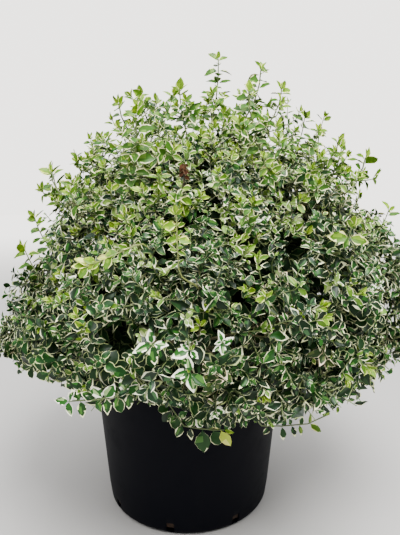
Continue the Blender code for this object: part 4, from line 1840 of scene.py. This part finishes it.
def sprayLeaves(twig, kept, rng):
    # opposite pairs from the tip back, each a quarter turn from the last
    leaves = []
    name, shade = sprayOf(twig, rng)
    spray = sprays[name]
    free = name in ("leader", "riser")
    path = twig["path"]
    reach = pathLength(path) - leafing["bareRoot"]
    turn = rng.uniform(0, math.pi)
    back, pair = leafing["tipRoom"], 0
    while back < reach:
        here, tangent = placeBack(path, back)
        if here is None:
            break
        # leaves further back than the spray's reach take the inner shades, with their painted shade
        if back > spray["reach"] and name != "inner":
            name, shade = "inner", rng.choice(list(shadeMixes["inner"]))
        size, opening = forPair(spray["sizes"], pair), forPair(spray["opening"], pair)
        square = Matrix.Rotation(turn, 3, tangent) @ tangent.orthogonal().normalized()
        for side in (square, -square):
            length = spray["length"] * size * rng.triangular(*leafing["lengths"])
            if not free:
                length *= mixed(*leafing["lengthShares"], highShare(here))
            if name == "inner":
                outer = ramp(surfaceShare(here), *leafing["innerOver"])
                length *= mixed(*leafing["innerShares"], outer)
            spread = math.radians(opening) + either(rng, leafing["openingSpread"])
            along, normal = turnLeaf(here, tangent, side, spread, spray, free, rng)
            kind, own = leafKind(name, shade, pair), leafShade(shade, name, pair, rng)
            shape = rng.choice(kindNumbers[kind])
            tip = here + along * length
            if leafFits(here, tip, free) and not hidesSprig((here + tip) / 2, kept):
                leaves.append({
                    "place": here, "turn": leafTurn(along, normal), "size": length,
                    "mass": twig["mass"], "shape": shape, "shade": own,
                })
        gap = spray["spacing"] * forPair(spray["crowding"], pair)
        if name == "inner":
            gap = leafing["oldSpacing"]
        back += gap * rng.uniform(*leafing["spacingSpread"])
        turn += math.pi / 2 + either(rng, leafing["turnSpread"])
        pair += 1
    return leaves


def growLeaves(twigs):
    # first the shoots that catch the eye, then all the others, which keep clear of them
    rng = random.Random(growth["seed"] + 1)
    leaves = []
    for twig in twigs:
        if twig["kind"] in sprigs:
            leaves += sprigLeaves(twig, rng)
            twig["carries"] = True
    kept = [(leaf["middle"], leaf["size"]) for leaf in leaves]
    for twig in twigs:
        if twig["kind"] != "wood" and twig["kind"] not in sprigs:
            own = sprayLeaves(twig, kept, rng)
            leaves += own
            twig["carries"] = twig["carries"] or bool(own)
    return leaves


def leafMesh(name, leaves):
    mesh = bpy.data.meshes.new(name)
    mesh.from_pydata([tuple(leaf["place"]) for leaf in leaves], [], [])
    store(mesh, "turn", "FLOAT_VECTOR", [angle for leaf in leaves for angle in leaf["turn"]])
    store(mesh, "size", "FLOAT", [leaf["size"] for leaf in leaves])
    store(mesh, "shape", "INT", [leaf["shape"] for leaf in leaves])
    store(mesh, "shade", "INT", [shadeNames.index(leaf["shade"]) for leaf in leaves])
    return mesh


# twigs' finishes, by age: colour and roughness

twigCoats = {
    "old": ((92, 86, 58), 0.75),
    "ageing": ((98, 96, 60), 0.75),
    "green": ((96, 112, 62), 0.5),
    "lime": ((122, 132, 66), 0.5),
    "dead": ((60, 38, 26), 0.5),
}
coatNames = list(twigCoats)
sprigCoats = {"deadTip": "dead", "limeShoot": "lime", "midShoot": "lime"}


def twigFinishes():
    finishes = []
    for name, (colour, rough) in twigCoats.items():
        values = {"Base Color": linear(*colour), "Roughness": rough}
        finishes.append(newFinish(f"twig_{name}", values)[0])
    return finishes


def twigCoat(twig):
    kind, order = twig["kind"], twig["order"]
    coat = "green"
    if kind in sprigCoats:
        coat = sprigCoats[kind]
    elif order <= 1 and kind != "leader":
        coat = "old"
    elif order == 2 and kind == "mature":
        coat = "ageing"
    return coatNames.index(coat)


def makeCrown(masses):
    shelf = makeLeafShelf()
    twigs = growTwigs(masses)
    leaves = growLeaves(twigs)
    print("grown:", len(twigs), "twigs and", len(leaves), "leaves")
    sweep = sweepTree("twigs", twigFinishes())
    foliage = leafTree(leafFinishes())
    total = 0
    for number, mass in enumerate(masses):
        name = mass["name"]
        ownTwigs = [twig for twig in twigs if twig["mass"] == name and twig["carries"]]
        ownLeaves = [leaf for leaf in leaves if leaf["mass"] == name]
        lines = [(twig["path"], twig["radii"], twigCoat(twig)) for twig in ownTwigs]
        woody = grown(name + "_twigs", lineMesh(name + "_twigs", lines), sweep, {"Sides": 4})
        woody.data.shade_smooth()
        values = {"Leaf shapes": shelf, "Seed": number + 1}
        leafy = grown(name + "_leaves", leafMesh(name + "_leaves", ownLeaves), foliage, values)
        for piece, slot in ((woody, "bark"), (leafy, "leaves")):
            finishPiece(piece, slot, name + "_foliage")
            total += sum(len(face.vertices) - 2 for face in piece.data.polygons)
        print(f"  {name}: {len(ownTwigs)} twigs and {len(ownLeaves)} leaves")
    emptyShelf(shelf)
    print("crown made:", total, "triangles")


makeCrown(masses)

# floor, light and camera

studio = {
    "floorSize": 14.0,
    "floor": (190, 188, 184),
    "floorRoughness": 0.75,
    "fade": (1.2, 4.5),
    "backdrop": (3.15, 3.06, 2.92, 1.0),
    "skyTop": 2.6,
    "skySide": 0.05,
    "skyFade": (0.05, 1.0),
    "skyBlue": 1.02,
    "aim": (0.02, 0.0, 0.35),
    # place, size and power
    "key": ((0.35, -1.05, 2.25), 1.3, 106),
    "fill": ((-1.7, -1.3, 1.2), 1.6, 4),
}
camera = {"lens": 35.0, "place": (0.019, -0.817, 0.521), "pitch": 9.8}


def makeFloor():
    # fades into the plain ground behind the plant
    work = bmesh.new()
    bmesh.ops.create_circle(work, cap_ends=True, segments=96, radius=studio["floorSize"] / 2)
    floor = newPiece("floor", meshOf(work, "floor"))
    values = {"Roughness": studio["floorRoughness"], "Emission Strength": 1.0}
    finish, tree, shader = newFinish("pale_floor", values)
    across = tree.add("ShaderNodeVectorMath", {0: tree.place()}, "Value", operation="LENGTH")
    far = tree.between(across, *studio["fade"])
    black = linear(0, 0, 0)
    tree.feed(shader.inputs["Base Color"], tree.blend(far, linear(*studio["floor"]), black))
    tree.feed(shader.inputs["Emission Color"], tree.blend(far, black, studio["backdrop"]))
    floor.data.materials.append(finish)


def makeWorld():
    # brighter overhead than at the sides, and a plain pale ground behind the plant
    world = bpy.data.worlds.new("studio")
    world.use_nodes = True
    scene.world = world
    tree = Tree(world.node_tree)
    height = tree.heightOf(tree.add("ShaderNodeTexCoord", output="Generated"))
    side = studio["skySide"]
    strength = side + (studio["skyTop"] - side) * tree.between(height, *studio["skyFade"])
    seen = tree.add("ShaderNodeLightPath", output="Is Camera Ray")
    values = {0: strength, 1: strength, 2: strength * studio["skyBlue"]}
    sky = tree.add("ShaderNodeCombineXYZ", values)
    colour = world.node_tree.nodes["Background"].inputs["Color"]
    tree.feed(colour, tree.blend(seen, sky, studio["backdrop"]))


def makeLight(name):
    place, size, power = studio[name]
    light = bpy.data.lights.new(name, "AREA")
    light.shape, light.size, light.energy = "DISK", size, power
    lamp = bpy.data.objects.new(name, light)
    lamp.location = place
    way = Vector(studio["aim"]) - Vector(place)
    lamp.rotation_euler = way.to_track_quat("-Z", "Y").to_euler()
    scene.collection.objects.link(lamp)


def makeCamera():
    lens = bpy.data.cameras.new("camera")
    lens.lens = camera["lens"]
    viewer = bpy.data.objects.new("camera", lens)
    viewer.location = camera["place"]
    viewer.rotation_euler = Euler((math.radians(90 - camera["pitch"]), 0, 0))
    scene.collection.objects.link(viewer)
    scene.camera = viewer


makeFloor()
makeWorld()
makeLight("key")
makeLight("fill")
makeCamera()
print("floor, light and camera made")
